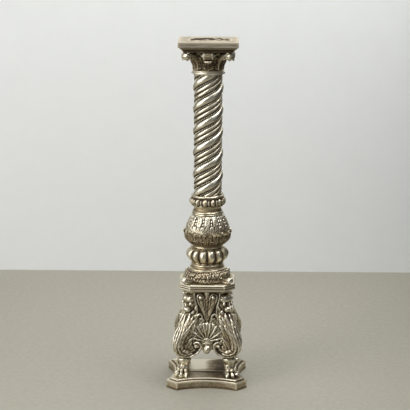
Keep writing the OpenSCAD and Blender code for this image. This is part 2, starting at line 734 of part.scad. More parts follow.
// Corner volutes of the capital
volute_z = z_moulding - volute_r;
module volute(i) {
    color(bright) corner(i) difference() {
        rotate([0, 0, 225]) {
            translate([volute_out, 0, volute_z]) rotate([90, 0, 0]) {
                cylinder(r = volute_r, h = volute_l, center = true);
                for (side = [-1, 1]) translate([0, 0, side * volute_l / 2]) sphere(volute_r * 0.5, $fn = 32);
            }
            rotate([90, 0, 0]) linear_extrude(volute_l * 0.7, center = true)
                polygon(concat(smooth([[neck_r, z_capital + leaf_top - 6], [neck_r + 14, z_capital + leaf_top + 1],
                    [volute_out - 18, volute_z - volute_r + 3], [volute_out - 4, volute_z - volute_r + 2]], 4),
                    [[volute_out, volute_z], [volute_out - 2, z_moulding], [neck_r, z_moulding]]));
        }
        translate([0, 0, z_capital]) turned(bell_space);
    }
}

// Rolls in the middle of the capital's faces
roll_out = 72;
module roll(i) {
    color(bright) corner(i) difference() {
        union() {
            translate([0, -roll_out, z_moulding - roll_r]) rotate([0, 90, 0]) {
                cylinder(r = roll_r, h = roll_l, center = true);
                for (side = [-1, 1]) translate([0, 0, side * roll_l / 2]) sphere(roll_r * 0.5, $fn = 32);
            }
            translate([0, -roll_out + 6, z_moulding - 2 * roll_r - 7]) rotate([0, 90, 0]) spindle(5.5, roll_l / 2);
            translate([-roll_l * 0.3, -roll_out, z_moulding - 2 * roll_r - 7])
                cube([roll_l * 0.6, 20, 2 * roll_r + 7]);
        }
        translate([0, 0, z_capital]) turned(bell_space);
    }
}

// Moulding under the board
moulding_hw = moulding_w / 2;
moulding_section = concat([[moulding_hw - 11, 0], [moulding_hw - 9, 4]],
    smooth([[moulding_hw - 8, 5.5], [moulding_hw - 6, 8], [moulding_hw - 2, 10]], 3),
    [[moulding_hw, 10.5], [moulding_hw, moulding_h]]);

module abacus_moulding() {
    color(shade) difference() {
        translate([0, 0, z_moulding]) mitred(moulding_section, moulding_hw + 1);
        translate([0, 0, z_moulding - eps]) cylinder(r = dowel_r + fit_gap, h = moulding_h - 4);
    }
}

// Top board: raw wood with a rough shallow hollow
// The hollow's outline, in parts of its width and length
hollow_line = smooth([[-0.5, -0.12], [-0.4, -0.38], [-0.12, -0.5], [0.2, -0.46], [0.45, -0.36], [0.5, 0.02],
                      [0.42, 0.36], [0.16, 0.5], [-0.2, 0.45], [-0.43, 0.38], [-0.5, -0.12]], 3);
module top_board() {
    color(raw_wood) translate([0, 0, z_board]) difference() {
        translate([-board_w / 2, -board_w / 2, 0]) cube([board_w, board_w, board_t]);
        translate([0, 0, board_t - hollow_d]) linear_extrude(board_t)
            polygon([for (q = hollow_line) [q[0] * hollow_w + hollow_shift, q[1] * hollow_l]]);
    }
}

// Joinery
module knop_rod() {
    color("#9c8a63") translate([0, 0, rod_low]) cylinder(r = rod_r, h = rod_top - rod_low);
}
module capital_dowel() {
    color("#9c8a63") translate([0, 0, z_moulding - 11]) cylinder(r = dowel_r, h = 11 + moulding_h - 4 - eps);
}
module paw_pegs() {
    color("#9c8a63") for (i = [0 : 3]) corner(i) translate([-paw_x, -paw_x, peg_low])
        cylinder(r = peg_r, h = z_leg + peg_rise - peg_low);
}

plinth_front();
plinth_rear();
paw(0);  // paw_front_left
paw(1);  // paw_front_right
paw(2);  // paw_rear_right
paw(3);  // paw_rear_left
ankle(0);  // ankle_front_left
ankle(1);  // ankle_front_right
ankle(2);  // ankle_rear_right
ankle(3);  // ankle_rear_left
leg(0);  // leg_front_left
leg(1);  // leg_front_right
leg(2);  // leg_rear_right
leg(3);  // leg_rear_left
core_block();
shell(0);  // shell_front
shell(1);  // shell_right
shell(2);  // shell_rear
shell(3);  // shell_left
platform();
foliage_drum();
spur(0);  // spur_front_left
spur(1);  // spur_front_right
spur(2);  // spur_rear_right
spur(3);  // spur_rear_left
lower_spool();
melon_knop();
knop_ring();
leaf_cup();
bulb();
upper_spool();
bead_collar();
twist_shaft();
neck_ring();
capital_bell();
volute(0);  // volute_front_left
volute(1);  // volute_front_right
volute(2);  // volute_rear_right
volute(3);  // volute_rear_left
roll(0);  // roll_front
roll(1);  // roll_right
roll(2);  // roll_rear
roll(3);  // roll_left
abacus_moulding();
top_board();
knop_rod();
capital_dowel();
paw_pegs();
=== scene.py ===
# Torchere candle stand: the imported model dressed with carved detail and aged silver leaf
import bpy, json, math
import numpy as np
from mathutils import Vector, Matrix
from mathutils.bvhtree import BVHTree

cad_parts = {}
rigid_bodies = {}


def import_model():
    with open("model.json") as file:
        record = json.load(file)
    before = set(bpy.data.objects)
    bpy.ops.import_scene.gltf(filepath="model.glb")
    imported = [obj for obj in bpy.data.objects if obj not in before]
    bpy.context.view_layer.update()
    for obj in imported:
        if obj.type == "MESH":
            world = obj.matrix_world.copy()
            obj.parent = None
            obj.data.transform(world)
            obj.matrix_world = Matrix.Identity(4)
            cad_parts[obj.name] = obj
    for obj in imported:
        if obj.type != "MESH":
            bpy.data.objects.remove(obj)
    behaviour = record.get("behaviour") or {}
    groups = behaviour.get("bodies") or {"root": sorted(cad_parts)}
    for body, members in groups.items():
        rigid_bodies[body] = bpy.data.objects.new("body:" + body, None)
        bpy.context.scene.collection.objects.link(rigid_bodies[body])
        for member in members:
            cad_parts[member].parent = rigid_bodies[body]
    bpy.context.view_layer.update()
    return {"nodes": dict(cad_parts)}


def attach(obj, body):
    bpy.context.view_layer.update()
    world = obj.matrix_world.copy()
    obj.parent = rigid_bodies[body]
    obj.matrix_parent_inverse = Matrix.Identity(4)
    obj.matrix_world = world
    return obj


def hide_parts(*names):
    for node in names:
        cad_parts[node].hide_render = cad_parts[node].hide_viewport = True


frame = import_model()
mm = 0.001
fullTurn = 2 * math.pi
corners = ["front_left", "front_right", "rear_right", "rear_left"]
sides = ["front", "right", "rear", "left"]
print("frame loaded")

# camera, floor, wall and lights

view = {"place": (0.0366, -4.4092, 1.5467), "pitch": 12.42, "yaw": 0.587, "roll": 0.2585, "lens": 124.88}
bpy.ops.object.camera_add(location=view["place"])
camera = bpy.context.active_object
camera.rotation_euler = (Matrix.Rotation(math.radians(view["yaw"]), 3, "Z")
                         @ Matrix.Rotation(math.radians(90 - view["pitch"]), 3, "X")
                         @ Matrix.Rotation(math.radians(view["roll"]), 3, "Z")).to_euler()
camera.data.lens = view["lens"]
camera.data.sensor_width = 36
camera.data.clip_end = 60
bpy.context.scene.camera = camera

room = {"wallY": 1.33, "wallTop": 5, "reach": 7.0, "front": -8.4,
        "floorTones": ((0.338, 0.322, 0.266), (0.295, 0.28, 0.23)),
        "wallTones": ((0.735, 0.75, 0.745), (0.72, 0.735, 0.73)),
        "flagTones": ((0.03, 0.028, 0.025), (0.035, 0.03, 0.026))}
# Dark boards out of the camera's sight, which edge the metal against the pale wall: two ends and a top
flags = {"flag_right": ((1.12, 1.29), (1.12, -0.75), 1.9), "flag_left": ((-2.3, 1.2), (-1.05, 1.28), 1.9)}
lamps = {"key": {"place": (-2.2, -1.95, 2.9), "power": 47, "size": (1.5, 1.5), "tone": (1.0, 0.99, 0.97),
                 "aim": (0, 0, 0.55)},
         "window": {"place": (-2.6, -1.1, 1.0), "power": 35, "size": (2.6, 1.9), "tone": (1.0, 0.99, 0.97),
                    "aim": (0, 0, 0.4)},
         "fill": {"place": (2.6, -2.6, 2.0), "power": 5, "size": (1.0, 1.0), "tone": (0.97, 0.98, 1.0),
                  "aim": (0, 0, 0.55)},
         "wash": {"place": (0.75, -0.1, 3.6), "power": 124, "size": (2.4, 2.4), "tone": (1.0, 1.0, 1.0),
                  "aim": (0.6, 1.33, 0.9)}}
sky = {"tone": (0.78, 0.80, 0.82, 1), "middle": 0.20, "fall": 0.10}


def clear():
    bpy.ops.object.select_all(action="DESELECT")


def only(piece):
    clear()
    piece.select_set(True)
    bpy.context.view_layer.objects.active = piece


for name, lamp in lamps.items():
    bpy.ops.object.light_add(type="AREA", location=lamp["place"])
    light = bpy.context.active_object
    light.name = "light_" + name
    light.data.energy = lamp["power"]
    light.data.shape = "RECTANGLE"
    light.data.size, light.data.size_y = lamp["size"]
    light.data.color = lamp["tone"]
    aim = Vector(lamp["aim"]) - Vector(lamp["place"])
    light.rotation_euler = aim.to_track_quat("-Z", "Y").to_euler()

world = bpy.data.worlds.new("studio")
world.use_nodes = True
bpy.context.scene.world = world
bpy.context.scene.view_settings.view_transform = "Standard"


# shader sums

# A socket of a material's nodes, so that shader sums read as plain sums
class Shade:
    tree = None

    def __init__(self, socket):
        self.socket = socket

    @staticmethod
    def add(kind, settings=(), out=0, **links):
        node = Shade.tree.nodes.new(kind)
        for key, value in dict(settings).items():
            if key == "stops":
                ramp = node.color_ramp.elements
                for i, (place, tone) in enumerate(value):
                    stop = ramp[i] if i < len(ramp) else ramp.new(place)
                    stop.position = place
                    stop.color = (*tone, 1)
            else:
                setattr(node, key, value)
        for key, value in links.items():
            slot = node.inputs[int(key[1:])] if key[1:].isdigit() else node.inputs[key.replace("_", " ")]
            if isinstance(value, Shade):
                Shade.tree.links.new(value.socket, slot)
            else:
                slot.default_value = value
        return Shade(node.outputs[out])

    def sum(self, how, other, flip=False):
        pair = (other, self) if flip else (self, other)
        return Shade.add("ShaderNodeMath", {"operation": how}, i0=pair[0], i1=pair[1])

    def __add__(self, other): return self.sum("ADD", other)
    def __radd__(self, other): return self.sum("ADD", other)
    def __sub__(self, other): return self.sum("SUBTRACT", other)
    def __rsub__(self, other): return self.sum("SUBTRACT", other, True)
    def __mul__(self, other): return self.sum("MULTIPLY", other)
    def __rmul__(self, other): return self.sum("MULTIPLY", other)

    def spread(self, low, high, toLow=0.0, toHigh=1.0):
        return Shade.add("ShaderNodeMapRange", {"clamp": True}, i0=self, i1=low, i2=high, i3=toLow, i4=toHigh)

    def tones(self, *stops):
        return Shade.add("ShaderNodeValToRGB", {"stops": stops}, i0=self)


def newMaterial(name):
    material = bpy.data.materials.new(name)
    material.use_nodes = True
    Shade.tree = material.node_tree
    return material, material.node_tree.nodes["Principled BSDF"]


def feed(shader, **links):
    for key, value in links.items():
        slot = shader.inputs[key.replace("_", " ")]
        if isinstance(value, Shade):
            Shade.tree.links.new(value.socket, slot)
        else:
            slot.default_value = value


def noise(place, scale, detail=4, rough=0.55):
    return Shade.add("ShaderNodeTexNoise", {}, Vector=place, Scale=scale, Detail=detail, Roughness=rough)


def stretched(place, x, y, z):
    return Shade.add("ShaderNodeMapping", {}, Vector=place, Scale=(x, y, z))


def mixTone(mask, one, two):
    return Shade.add("ShaderNodeMix", {"data_type": "RGBA"}, out=2, i0=mask, i6=one, i7=two)


# Worn silver leaf: bright on crests, brown wax left in the recesses, clouds of tarnish; the relief attribute
# also brings in painted shade and painted light
def silverLeaf(name, look):
    material, shader = newMaterial(name)
    place = Shade.add("ShaderNodeTexCoord", out="Object")
    relief = Shade.add("ShaderNodeAttribute", {"attribute_name": "relief"}, out="Fac")
    cloud = noise(place, 26, 5, 0.6)
    fine = noise(place, 210, 5, 0.62)
    speck = noise(place, 520, 3, 0.6)
    dirt = (relief * look["hollowDirt"] + (cloud - 0.5) * look["clouds"] + (fine - 0.5) * look["flecks"]
            + look["base"])
    wax = dirt.spread(0.0, 1.0)
    tone = wax.tones((0.0, look["bright"]), (0.30, look["silver"]), (0.62, look["tarnish"]),
                     (1.0, look["wax"]))
    spots = speck.spread(0.66, 0.74)
    tone = mixTone(spots * 0.55, tone, (*look["wax"], 1))
    height = fine * 0.6 + cloud - speck * 0.2
    bump = Shade.add("ShaderNodeBump", {}, Strength=look["bump"], Distance=0.0006, Height=height)
    feed(shader, Base_Color=tone, Metallic=wax.spread(0.35, 1.0, 1.0, 0.25),
         Roughness=(wax * 0.42 + fine * 0.22 + look["rough"]).spread(0.0, 1.0), Normal=bump)
    return material


looks = {"bright": (0.80, 0.755, 0.625), "silver": (0.53, 0.46, 0.325), "tarnish": (0.20, 0.143, 0.078),
         "wax": (0.046, 0.031, 0.016), "hollowDirt": 1.45, "clouds": 0.40, "flecks": 0.30, "base": -0.22,
         "bump": 0.20, "rough": 0.22}
leafSilver = silverLeaf("aged_silver_leaf", looks)
leafWarm = silverLeaf("yellowed_silver_leaf", {
    **looks, "bright": (0.80, 0.735, 0.57), "silver": (0.54, 0.45, 0.29), "base": -0.30, "clouds": 0.5,
    "rough": 0.20})
leafDull = silverLeaf("waxed_silver_leaf", {
    **looks, "bright": (0.76, 0.70, 0.56), "silver": (0.48, 0.405, 0.275), "base": 0.10, "rough": 0.24})
leafDeep = silverLeaf("brown_silver_leaf", {
    **looks, "bright": (0.72, 0.66, 0.52), "silver": (0.42, 0.345, 0.225), "base": 0.28, "rough": 0.26})
# A lighter copy of the leaf with painted light in it, for the neck ring that the lamps leave dark
leafPaintedLight = silverLeaf("painted_light_silver_leaf", {**looks, "base": -0.60, "clouds": 0.3, "rough": 0.32})
leafRubbed = silverLeaf("rubbed_silver_leaf", {
    **looks, "bright": (0.78, 0.725, 0.58), "silver": (0.52, 0.45, 0.32), "base": -0.34, "clouds": 0.75,
    "flecks": 0.4, "rough": 0.22})


# Bare grey-brown wood, its grain along X
def rawWood(name, look):
    material, shader = newMaterial(name)
    place = Shade.add("ShaderNodeTexCoord", out="Object")
    relief = Shade.add("ShaderNodeAttribute", {"attribute_name": "relief"}, out="Fac")
    grain = noise(stretched(place, 18, 190, 190), 1.0, 6, 0.65)
    broad = noise(stretched(place, 6, 40, 40), 1.0, 4, 0.6)
    stain = noise(place, 22, 5, 0.6)
    mask = grain * 0.55 + broad * 0.45 + (stain - 0.5) * 0.4 + (relief - 0.5) * 0.8
    tone = mask.tones((0.28, look["light"]), (0.5, look["middle"]), (0.72, look["dark"]))
    bump = Shade.add("ShaderNodeBump", {}, Strength=0.6, Distance=0.0008, Height=1 - grain)
    feed(shader, Base_Color=tone, Roughness=(grain * 0.25 + 0.6), Normal=bump, Specular_IOR_Level=0.3)
    return material


boardWood = rawWood("raw_board_wood", {"light": (0.385, 0.335, 0.25), "middle": (0.25, 0.22, 0.165),
                                       "dark": (0.07, 0.055, 0.038)})
innerWood = rawWood("inner_pine", {"light": (0.55, 0.40, 0.24), "middle": (0.42, 0.29, 0.16),
                                   "dark": (0.22, 0.14, 0.075)})
Shade.tree = world.node_tree  # the room's light is softer on the right
toRight = Shade.add("ShaderNodeSeparateXYZ", Vector=Shade.add("ShaderNodeTexCoord", out="Generated"))
feed(world.node_tree.nodes["Background"], Color=sky["tone"], Strength=sky["middle"] - toRight * sky["fall"])
print("materials mixed")

# the floor and wall of the studio


# Plain paint. Seen from its back such a board is clear, so that the stand shows from behind
def plainFinish(name, tones, scale, rough):
    material, shader = newMaterial(name)
    place = Shade.add("ShaderNodeTexCoord", out="Object")
    mask = noise(place, scale, 6, 0.7).spread(0.35, 0.65)
    feed(shader, Base_Color=mixTone(mask, (*tones[0], 1), (*tones[1], 1)), Roughness=rough)
    back = Shade.add("ShaderNodeNewGeometry", out="Backfacing")
    clearBack = Shade.add("ShaderNodeMixShader", i0=back, i1=Shade(shader.outputs[0]),
                          i2=Shade.add("ShaderNodeBsdfTransparent"))
    feed(material.node_tree.nodes["Material Output"], Surface=clearBack)
    return material


# A plane whose four corners are moved to where spot(left, low) says
def stagePlane(name, material, spot):
    bpy.ops.mesh.primitive_plane_add(size=1)
    plane = bpy.context.active_object
    plane.name = name
    for vertex in plane.data.vertices:
        vertex.co = spot(vertex.co.x < 0, vertex.co.y < 0)
    plane.data.materials.append(material)
    return plane


wide, back = room["reach"], room["wallY"]
stagePlane("studio_floor", plainFinish("floor_paint", room["floorTones"], 60, 0.62),
           lambda left, low: (-wide if left else wide, room["front"] if low else back, 0))
stagePlane("studio_wall", plainFinish("wall_paint", room["wallTones"], 9, 0.8),
           lambda left, low: (-wide if left else wide, back, 0 if low else room["wallTop"]))
flagPaint = plainFinish("flag_paint", room["flagTones"], 5, 0.9)
for name, (start, end, top) in flags.items():
    flag = stagePlane(name, flagPaint, lambda left, low: (*(start if left else end), 0.002 if low else top))
    flag.visible_camera = False
print("studio set")

# tools of the bench


# A smooth line through the points, a step about every gap mm. A repeated point is a sharp corner
def flow(points, gap=1.0):
    points = [np.array(p, float) for p in points]
    runs, run = [], [points[0]]
    for last, now in zip(points, points[1:]):
        if np.allclose(last, now):
            runs.append(run)
            run = [now]
        else:
            run.append(now)
    runs.append(run)
    line = []
    for run in runs:
        if len(run) < 2:
            continue
        run = [2 * run[0] - run[1]] + run + [2 * run[-1] - run[-2]]
        fine = []
        for a, b, c, d in zip(run, run[1:], run[2:], run[3:]):
            for t in np.arange(0, 1, 0.1):
                fine.append(0.5 * (2 * b + (c - a) * t + (2 * a - 5 * b + 4 * c - d) * t * t
                                   + (3 * b - a - 3 * c + d) * t ** 3))
        fine = np.array(fine + [run[-2]])
        length = np.concatenate([[0], np.cumsum(np.linalg.norm(np.diff(fine, axis=0), axis=1))])
        stops = np.linspace(0, length[-1], max(2, int(round(length[-1] / gap)) + 1))
        line += list(np.stack([np.interp(stops, length, fine[:, k]) for k in range(fine.shape[1])], 1))
    return np.array([p for i, p in enumerate(line) if i == 0 or not np.allclose(p, line[i - 1])])


def readPoints(piece):
    spots = np.empty(len(piece.data.vertices) * 3)
    piece.data.vertices.foreach_get("co", spots)
    return spots.reshape(-1, 3) / mm


def movePoints(piece, spots):
    piece.data.vertices.foreach_set("co", (np.asarray(spots) * mm).ravel())
    piece.data.update()


def tidyMesh(piece, merge=0.01):
    only(piece)
    bpy.ops.object.mode_set(mode="EDIT")
    bpy.ops.mesh.select_all(action="SELECT")
    bpy.ops.mesh.remove_doubles(threshold=merge * mm)
    bpy.ops.mesh.normals_make_consistent(inside=False)
    bpy.ops.object.mode_set(mode="OBJECT")


# Spins radius-height pairs in mm, lowest first, round the Z axis and closes both ends
def lathe(name, profile, steps=160):
    points = [(0, profile[0][1])] + [tuple(p) for p in profile] + [(0, profile[-1][1])]
    clear()
    bpy.ops.mesh.primitive_circle_add(vertices=len(points))
    piece = bpy.context.active_object
    piece.name = piece.data.name = name
    for vertex, (r, z) in zip(piece.data.vertices, points):
        vertex.co = (r * mm, 0, z * mm)
    bpy.ops.object.mode_set(mode="EDIT")
    bpy.ops.mesh.select_all(action="DESELECT")
    bpy.ops.object.mode_set(mode="OBJECT")
    for edge in piece.data.edges:  # the edge along the axis goes before the spin
        edge.select = set(edge.vertices) == {0, len(points) - 1}
    bpy.ops.object.mode_set(mode="EDIT")
    bpy.ops.mesh.select_mode(type="EDGE")
    bpy.ops.mesh.delete(type="EDGE")
    bpy.ops.mesh.select_mode(type="VERT")
    bpy.ops.mesh.select_all(action="SELECT")
    bpy.ops.mesh.spin(steps=steps, angle=fullTurn, center=(0, 0, 0), axis=(0, 0, 1))
    bpy.ops.object.mode_set(mode="OBJECT")
    tidyMesh(piece)
    return piece


# A grid of across by up faces, moved to where shape(u, v) says, then merged along its seam
def sheet(name, across, up, shape):
    clear()
    bpy.ops.mesh.primitive_grid_add(x_subdivisions=across, y_subdivisions=up, size=2)
    piece = bpy.context.active_object
    piece.name = piece.data.name = name
    flat = readPoints(piece) * mm
    movePoints(piece, np.stack(shape((flat[:, 0] + 1) / 2, (flat[:, 1] + 1) / 2), 1))
    tidyMesh(piece)
    return piece


# A plate with this outline in X and Z, between two depths in Y
def slab(name, outline, front, back):
    clear()
    bpy.ops.mesh.primitive_circle_add(vertices=len(outline), fill_type="NGON")
    piece = bpy.context.active_object
    piece.name = name
    for vertex, (x, z) in zip(piece.data.vertices, outline):
        vertex.co = (x * mm, front * mm, z * mm)
    bpy.ops.object.mode_set(mode="EDIT")
    bpy.ops.mesh.select_all(action="SELECT")
    bpy.ops.mesh.extrude_region_move(TRANSFORM_OT_translate={"value": (0, (back - front) * mm, 0)})
    bpy.ops.object.mode_set(mode="OBJECT")
    tidyMesh(piece)
    return piece


# Round carved ribs: each line is its points in mm and its radius at each of them
def ropes(name, lines, sides=2):
    curve = bpy.data.curves.new(name, "CURVE")
    curve.dimensions = "3D"
    curve.bevel_depth = mm
    curve.bevel_resolution = sides
    curve.use_fill_caps = True
    for points, radii in lines:
        spline = curve.splines.new("POLY")
        spline.points.add(len(points) - 1)
        radii = np.broadcast_to(radii, (len(points),))
        for dot, p, r in zip(spline.points, points, radii):
            dot.co = (*(np.asarray(p) * mm), 1)
            dot.radius = r
    piece = bpy.data.objects.new(name, curve)
    bpy.context.collection.objects.link(piece)
    only(piece)
    bpy.ops.object.convert(target="MESH")
    return bpy.context.active_object


def taper(count, *radii):
    return np.interp(np.linspace(0, 1, count), np.linspace(0, 1, len(radii)), radii)


# A round or long bead as a rib whose radius swells and dies
def bead(centre, radius, axis=(0, 0, 1), half=None):
    half = half or radius
    t = np.sin(np.linspace(-1, 1, 11) * math.pi / 2)
    axis = np.array(axis, float) / np.linalg.norm(axis)
    return np.array(centre) + np.outer(t * half, axis), np.maximum(0.05, radius * np.sqrt(1 - t * t))


# Adds a rib along a smooth line through the points, with these radii spread over its length
def rib(lines, points, radii, gap=1.5):
    path = flow(points, gap)
    lines.append((path, taper(len(path), *radii)))


def joinTo(piece, others):
    clear()
    for part in [piece] + others:
        part.select_set(True)
    bpy.context.view_layer.objects.active = piece
    bpy.ops.object.join()


# 0 up to the start and 1 from a length beyond it. A length below zero runs the other way
def ramp(x, start=0, length=1):
    return np.clip((x - start) / length, 0, 1)


def roundSpot(radius, angle, z):
    return radius * np.cos(angle), radius * np.sin(angle), z


# The spots of a sheet round the axis, drawn in to the axis at both its ends
def closedRound(radius, angle, z, v):
    return roundSpot(np.where((v <= 0) | (v >= 1), 0, radius), angle, z)


# A merged copy of a CAD node's mesh, to be worked on while the node stays as it is
def cadCopy(node):
    piece = bpy.data.objects.new("copy_" + node, frame["nodes"][node].data.copy())
    bpy.context.collection.objects.link(piece)
    tidyMesh(piece, 0.02)
    return piece


def finishWith(piece, kind, **settings):
    only(piece)
    modifier = piece.modifiers.new(kind.lower(), kind)
    for key, value in settings.items():
        setattr(modifier, key, value)
    bpy.ops.object.modifier_apply(modifier=modifier.name)


# Joins closed shapes into one skin, as wood carved from the solid, and eases its edges
def fuse(name, parts, voxel=1.2, ease=2):
    piece = parts[0]
    if len(parts) > 1:
        joinTo(piece, parts[1:])
    piece.name = piece.data.name = name
    finishWith(piece, "REMESH", mode="VOXEL", voxel_size=voxel * mm)
    if ease:
        finishWith(piece, "SMOOTH", factor=0.5, iterations=ease)
    return piece


# Slow swells that keep a surface from looking machined
def unevenness(spots, size, height, seed):
    random = np.random.default_rng(seed)
    total = np.zeros(len(spots))
    for k in range(7):
        way = random.normal(size=3)
        way *= fullTurn / (size * (0.6 + 0.9 * random.random())) / np.linalg.norm(way)
        total += np.sin(spots @ way + random.random() * fullTurn)
    return total * height / 2.6


def normalsOf(piece):
    ways = np.empty(len(piece.data.vertices) * 3)
    piece.data.vertices.foreach_get("normal", ways)
    return ways.reshape(-1, 3)


def handWork(piece, size, height, seed):
    spots = readPoints(piece)
    movePoints(piece, spots + normalsOf(piece) * unevenness(spots, size, height, seed)[:, None])


# How deep the recesses are read for the wax, and how much painted shade the undersides get
wearAndShade = {"near": 10, "fineDepth": 0.30, "deepDepth": 1.5, "under": 0.22}


# Measures how far each point lies in a hollow, 0 on a crest and 1 in a groove, for the wax to gather in, and
# adds painted shade on the undersides
def weatherAndUnderShade(piece, waxAndPaintedLight, far):
    mesh = piece.data
    count = len(mesh.vertices)
    ends = np.empty(len(mesh.edges) * 2, dtype=np.int64)
    mesh.edges.foreach_get("vertices", ends)
    a, b = ends[0::2], ends[1::2]
    links = np.maximum(1, np.bincount(a, minlength=count) + np.bincount(b, minlength=count))
    spots = readPoints(piece)
    ways = normalsOf(piece)
    now, found = spots, np.zeros(count)
    for step in range(1, far + 1):
        now = np.stack([np.bincount(a, now[b, k], count) + np.bincount(b, now[a, k], count)
                        for k in range(3)], 1) / links[:, None]
        if step in (wearAndShade["near"], far):
            lift = ((now - spots) * ways).sum(1)
            found += np.tanh(lift / (wearAndShade["fineDepth"] if step == wearAndShade["near"] else wearAndShade["deepDepth"]))
    layer = mesh.attributes.new("relief", "FLOAT", "POINT")
    worn = 0.5 + found * 0.3
    if waxAndPaintedLight is not None:
        worn = waxAndPaintedLight + (worn - 0.5) * 0.7
    worn = worn + wearAndShade["under"] * ramp(-ways[:, 2])  # painted shade: the undersides are made darker
    layer.data.foreach_set("value", np.clip(worn, 0, 1).astype(np.float32))


# Gives a finished piece its leaf, its smooth skin and its place on the frame
def hand(piece, node, material, waxAndPaintedLight=None, far=70):
    weatherAndUnderShade(piece, waxAndPaintedLight, far)
    piece.data.materials.clear()
    piece.data.materials.append(material)
    only(piece)
    bpy.ops.object.shade_smooth()
    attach(piece, "root")
    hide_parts(node)


# The first piece stands at the front left or the front; the others are its copies, a quarter turn on
def cornerCopies(first, stem, material, names=corners, waxAndPaintedLight=None):
    for i, corner in enumerate(names):
        piece = first
        if i:
            piece = first.copy()
            piece.data = first.data.copy()
            bpy.context.collection.objects.link(piece)
            piece.data.transform(Matrix.Rotation(math.pi / 2 * i, 4, "Z"))
            piece.data.update()
        piece.name = piece.data.name = "carved_" + stem + "_" + corner
    for corner in names:
        piece = bpy.data.objects["carved_" + stem + "_" + corner]
        hand(piece, stem + "_" + corner, material, waxAndPaintedLight=waxAndPaintedLight)


# A tree that tells where a line meets the piece
def skinOf(piece):
    spots = [Vector(p) for p in readPoints(piece)]
    return BVHTree.FromPolygons(spots, [tuple(face.vertices) for face in piece.data.polygons])


# Points pushed along way until they touch the piece, then drawn back out by out mm
def onSkin(tree, points, way, out=0.0):
    way = Vector(way).normalized()
    hits = [tree.ray_cast(Vector(p), way)[0] for p in points]
    return [tuple(hit - way * out) for hit in hits if hit is not None]


# A rib on a round body, through (degrees round it, height) pairs. Its tip bends out by the share tip
def ribRound(lines, tree, start, turns, radii, out=0.3, tip=0.0, gap=1.5):
    path = []
    for a, z in flow(turns, gap):
        spot = roundSpot(start, math.radians(a), z)
        path += onSkin(tree, [spot], (-spot[0], -spot[1], 0), out)
    path = flow(path, gap)
    path[:, :2] *= 1 + tip * np.linspace(0, 1, len(path))[:, None] ** 2
    lines.append((path, taper(len(path), *radii)))


# How far round the axis each point lies from the front, in whole turns
def turnsOf(spots):
    return (np.arctan2(spots[:, 1], spots[:, 0]) + math.pi / 2) / fullTurn


# Radius and height at a share of a profile's length
def alongLine(line, share):
    place = share * (len(line) - 1)
    return [np.interp(place, np.arange(len(line)), line[:, k]) for k in (0, 1)]


# The corner pieces are carved at the front left: out along the diagonal, aside across it, and up
outward = np.array([-1, -1, 0]) / math.sqrt(2)
across = np.array([1, -1, 0]) / math.sqrt(2)


def cornerSpot(out, aside, up):
    return outward * out + across * aside + np.array([0, 0, up])


def cornerRib(lines, aside, points, radii, gap=1.5):
    rib(lines, [cornerSpot(out, aside, up) for out, up in points], radii, gap)


# (degrees, height) pairs of a leaf or a spiral on a body of this radius: each reach at its angle
def spray(turn, height, radius, angles, reaches, flip=1, flipUp=1):
    return [(turn + math.degrees(reach / radius) * math.cos(angle) * flip,
             height + reach * math.sin(angle) * flipUp) for angle, reach in np.broadcast(angles, reaches)]


print("bench ready")

# mouldings and boards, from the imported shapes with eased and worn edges

boards = {"plinth_front": (1.6, 3, 0.12), "plinth_rear": (1.6, 3, 0.12), "platform": (1.3, 2, 0.12),
          "abacus_moulding": (1.3, 2, 0.25)}  # voxel, easing, unevenness
# How the plinth's tone is set: painted shade to the right of its top, the seam of its boards dark, a painted
# pool of light behind the seam at the left, and darker along its bottom
plinthStainAndLight = {"sides": 0.50, "top": 0.56, "right": 0.30, "seam": 0.5, "rear": -0.40, "foot": 0.45}
seam = readPoints(frame["nodes"]["plinth_front"])[:, 1].max()
for i, (node, (voxel, ease, sway)) in enumerate(boards.items()):
    piece = fuse("worn_" + node, [cadCopy(node)], voxel, ease)
    handWork(piece, 34, sway, 10 + i)
    stainsAndPaintedLight = None
    if node.startswith("plinth"):
        x, y, z = readPoints(piece).T
        flat = ramp(normalsOf(piece)[:, 2]) ** 4
        # painted shade towards the right of the top; further down, a painted pool of light behind the seam
        shade = (plinthStainAndLight["top"] + plinthStainAndLight["right"] * np.clip(x / 60, -0.6, 1)
                 + plinthStainAndLight["seam"] * np.exp(-((y - seam + 5) / 7) ** 2))
        shade += plinthStainAndLight["rear"] * np.exp(-((x + 22) / 28) ** 2) * ramp(y, seam + 14, 12)
        stainsAndPaintedLight = plinthStainAndLight["sides"] + (shade - plinthStainAndLight["sides"]) * flat
        stainsAndPaintedLight += plinthStainAndLight["foot"] * ramp(z, 9, -6)
    hand(piece, node, leafDeep if node.startswith("abacus") else leafRubbed, waxAndPaintedLight=stainsAndPaintedLight, far=24)
print("boards eased")


# turned pieces

def turnedPiece(node, profile, worn, seed, material=leafWarm):
    piece = lathe("turned_" + node, flow(profile), 200)
    handWork(piece, 30, 0.22, seed)
    hand(piece, node, material, waxAndPaintedLight=worn)


turnedPiece("lower_spool",
            [(58, 369.5), (59.2, 371.5), (58.6, 374), (56.2, 375.6), (56.2, 375.6), (54.4, 376.4),
             (52, 378.8), (50.6, 382), (50.8, 384.6), (50.8, 384.6), (52.8, 385.4), (53.2, 387),
             (51.5, 389)], 0.56, 31)
turnedPiece("knop_ring",
            [(46, 441.5), (48.3, 442.6), (49.2, 444.6), (48.6, 446.8), (46, 448.5)], 0.56, 32)
turnedPiece("upper_spool",
            [(46, 543.5), (46, 548.6), (46, 548.6), (49.2, 549.2), (50.8, 551.4), (49.8, 553.8),
             (49.8, 553.8), (47.8, 554.3), (48.8, 555.6), (48.8, 557.6), (46.4, 560.4), (44.2, 563.2),
             (42.8, 567), (43.4, 571.5), (46, 575.5)], 0.58, 33)
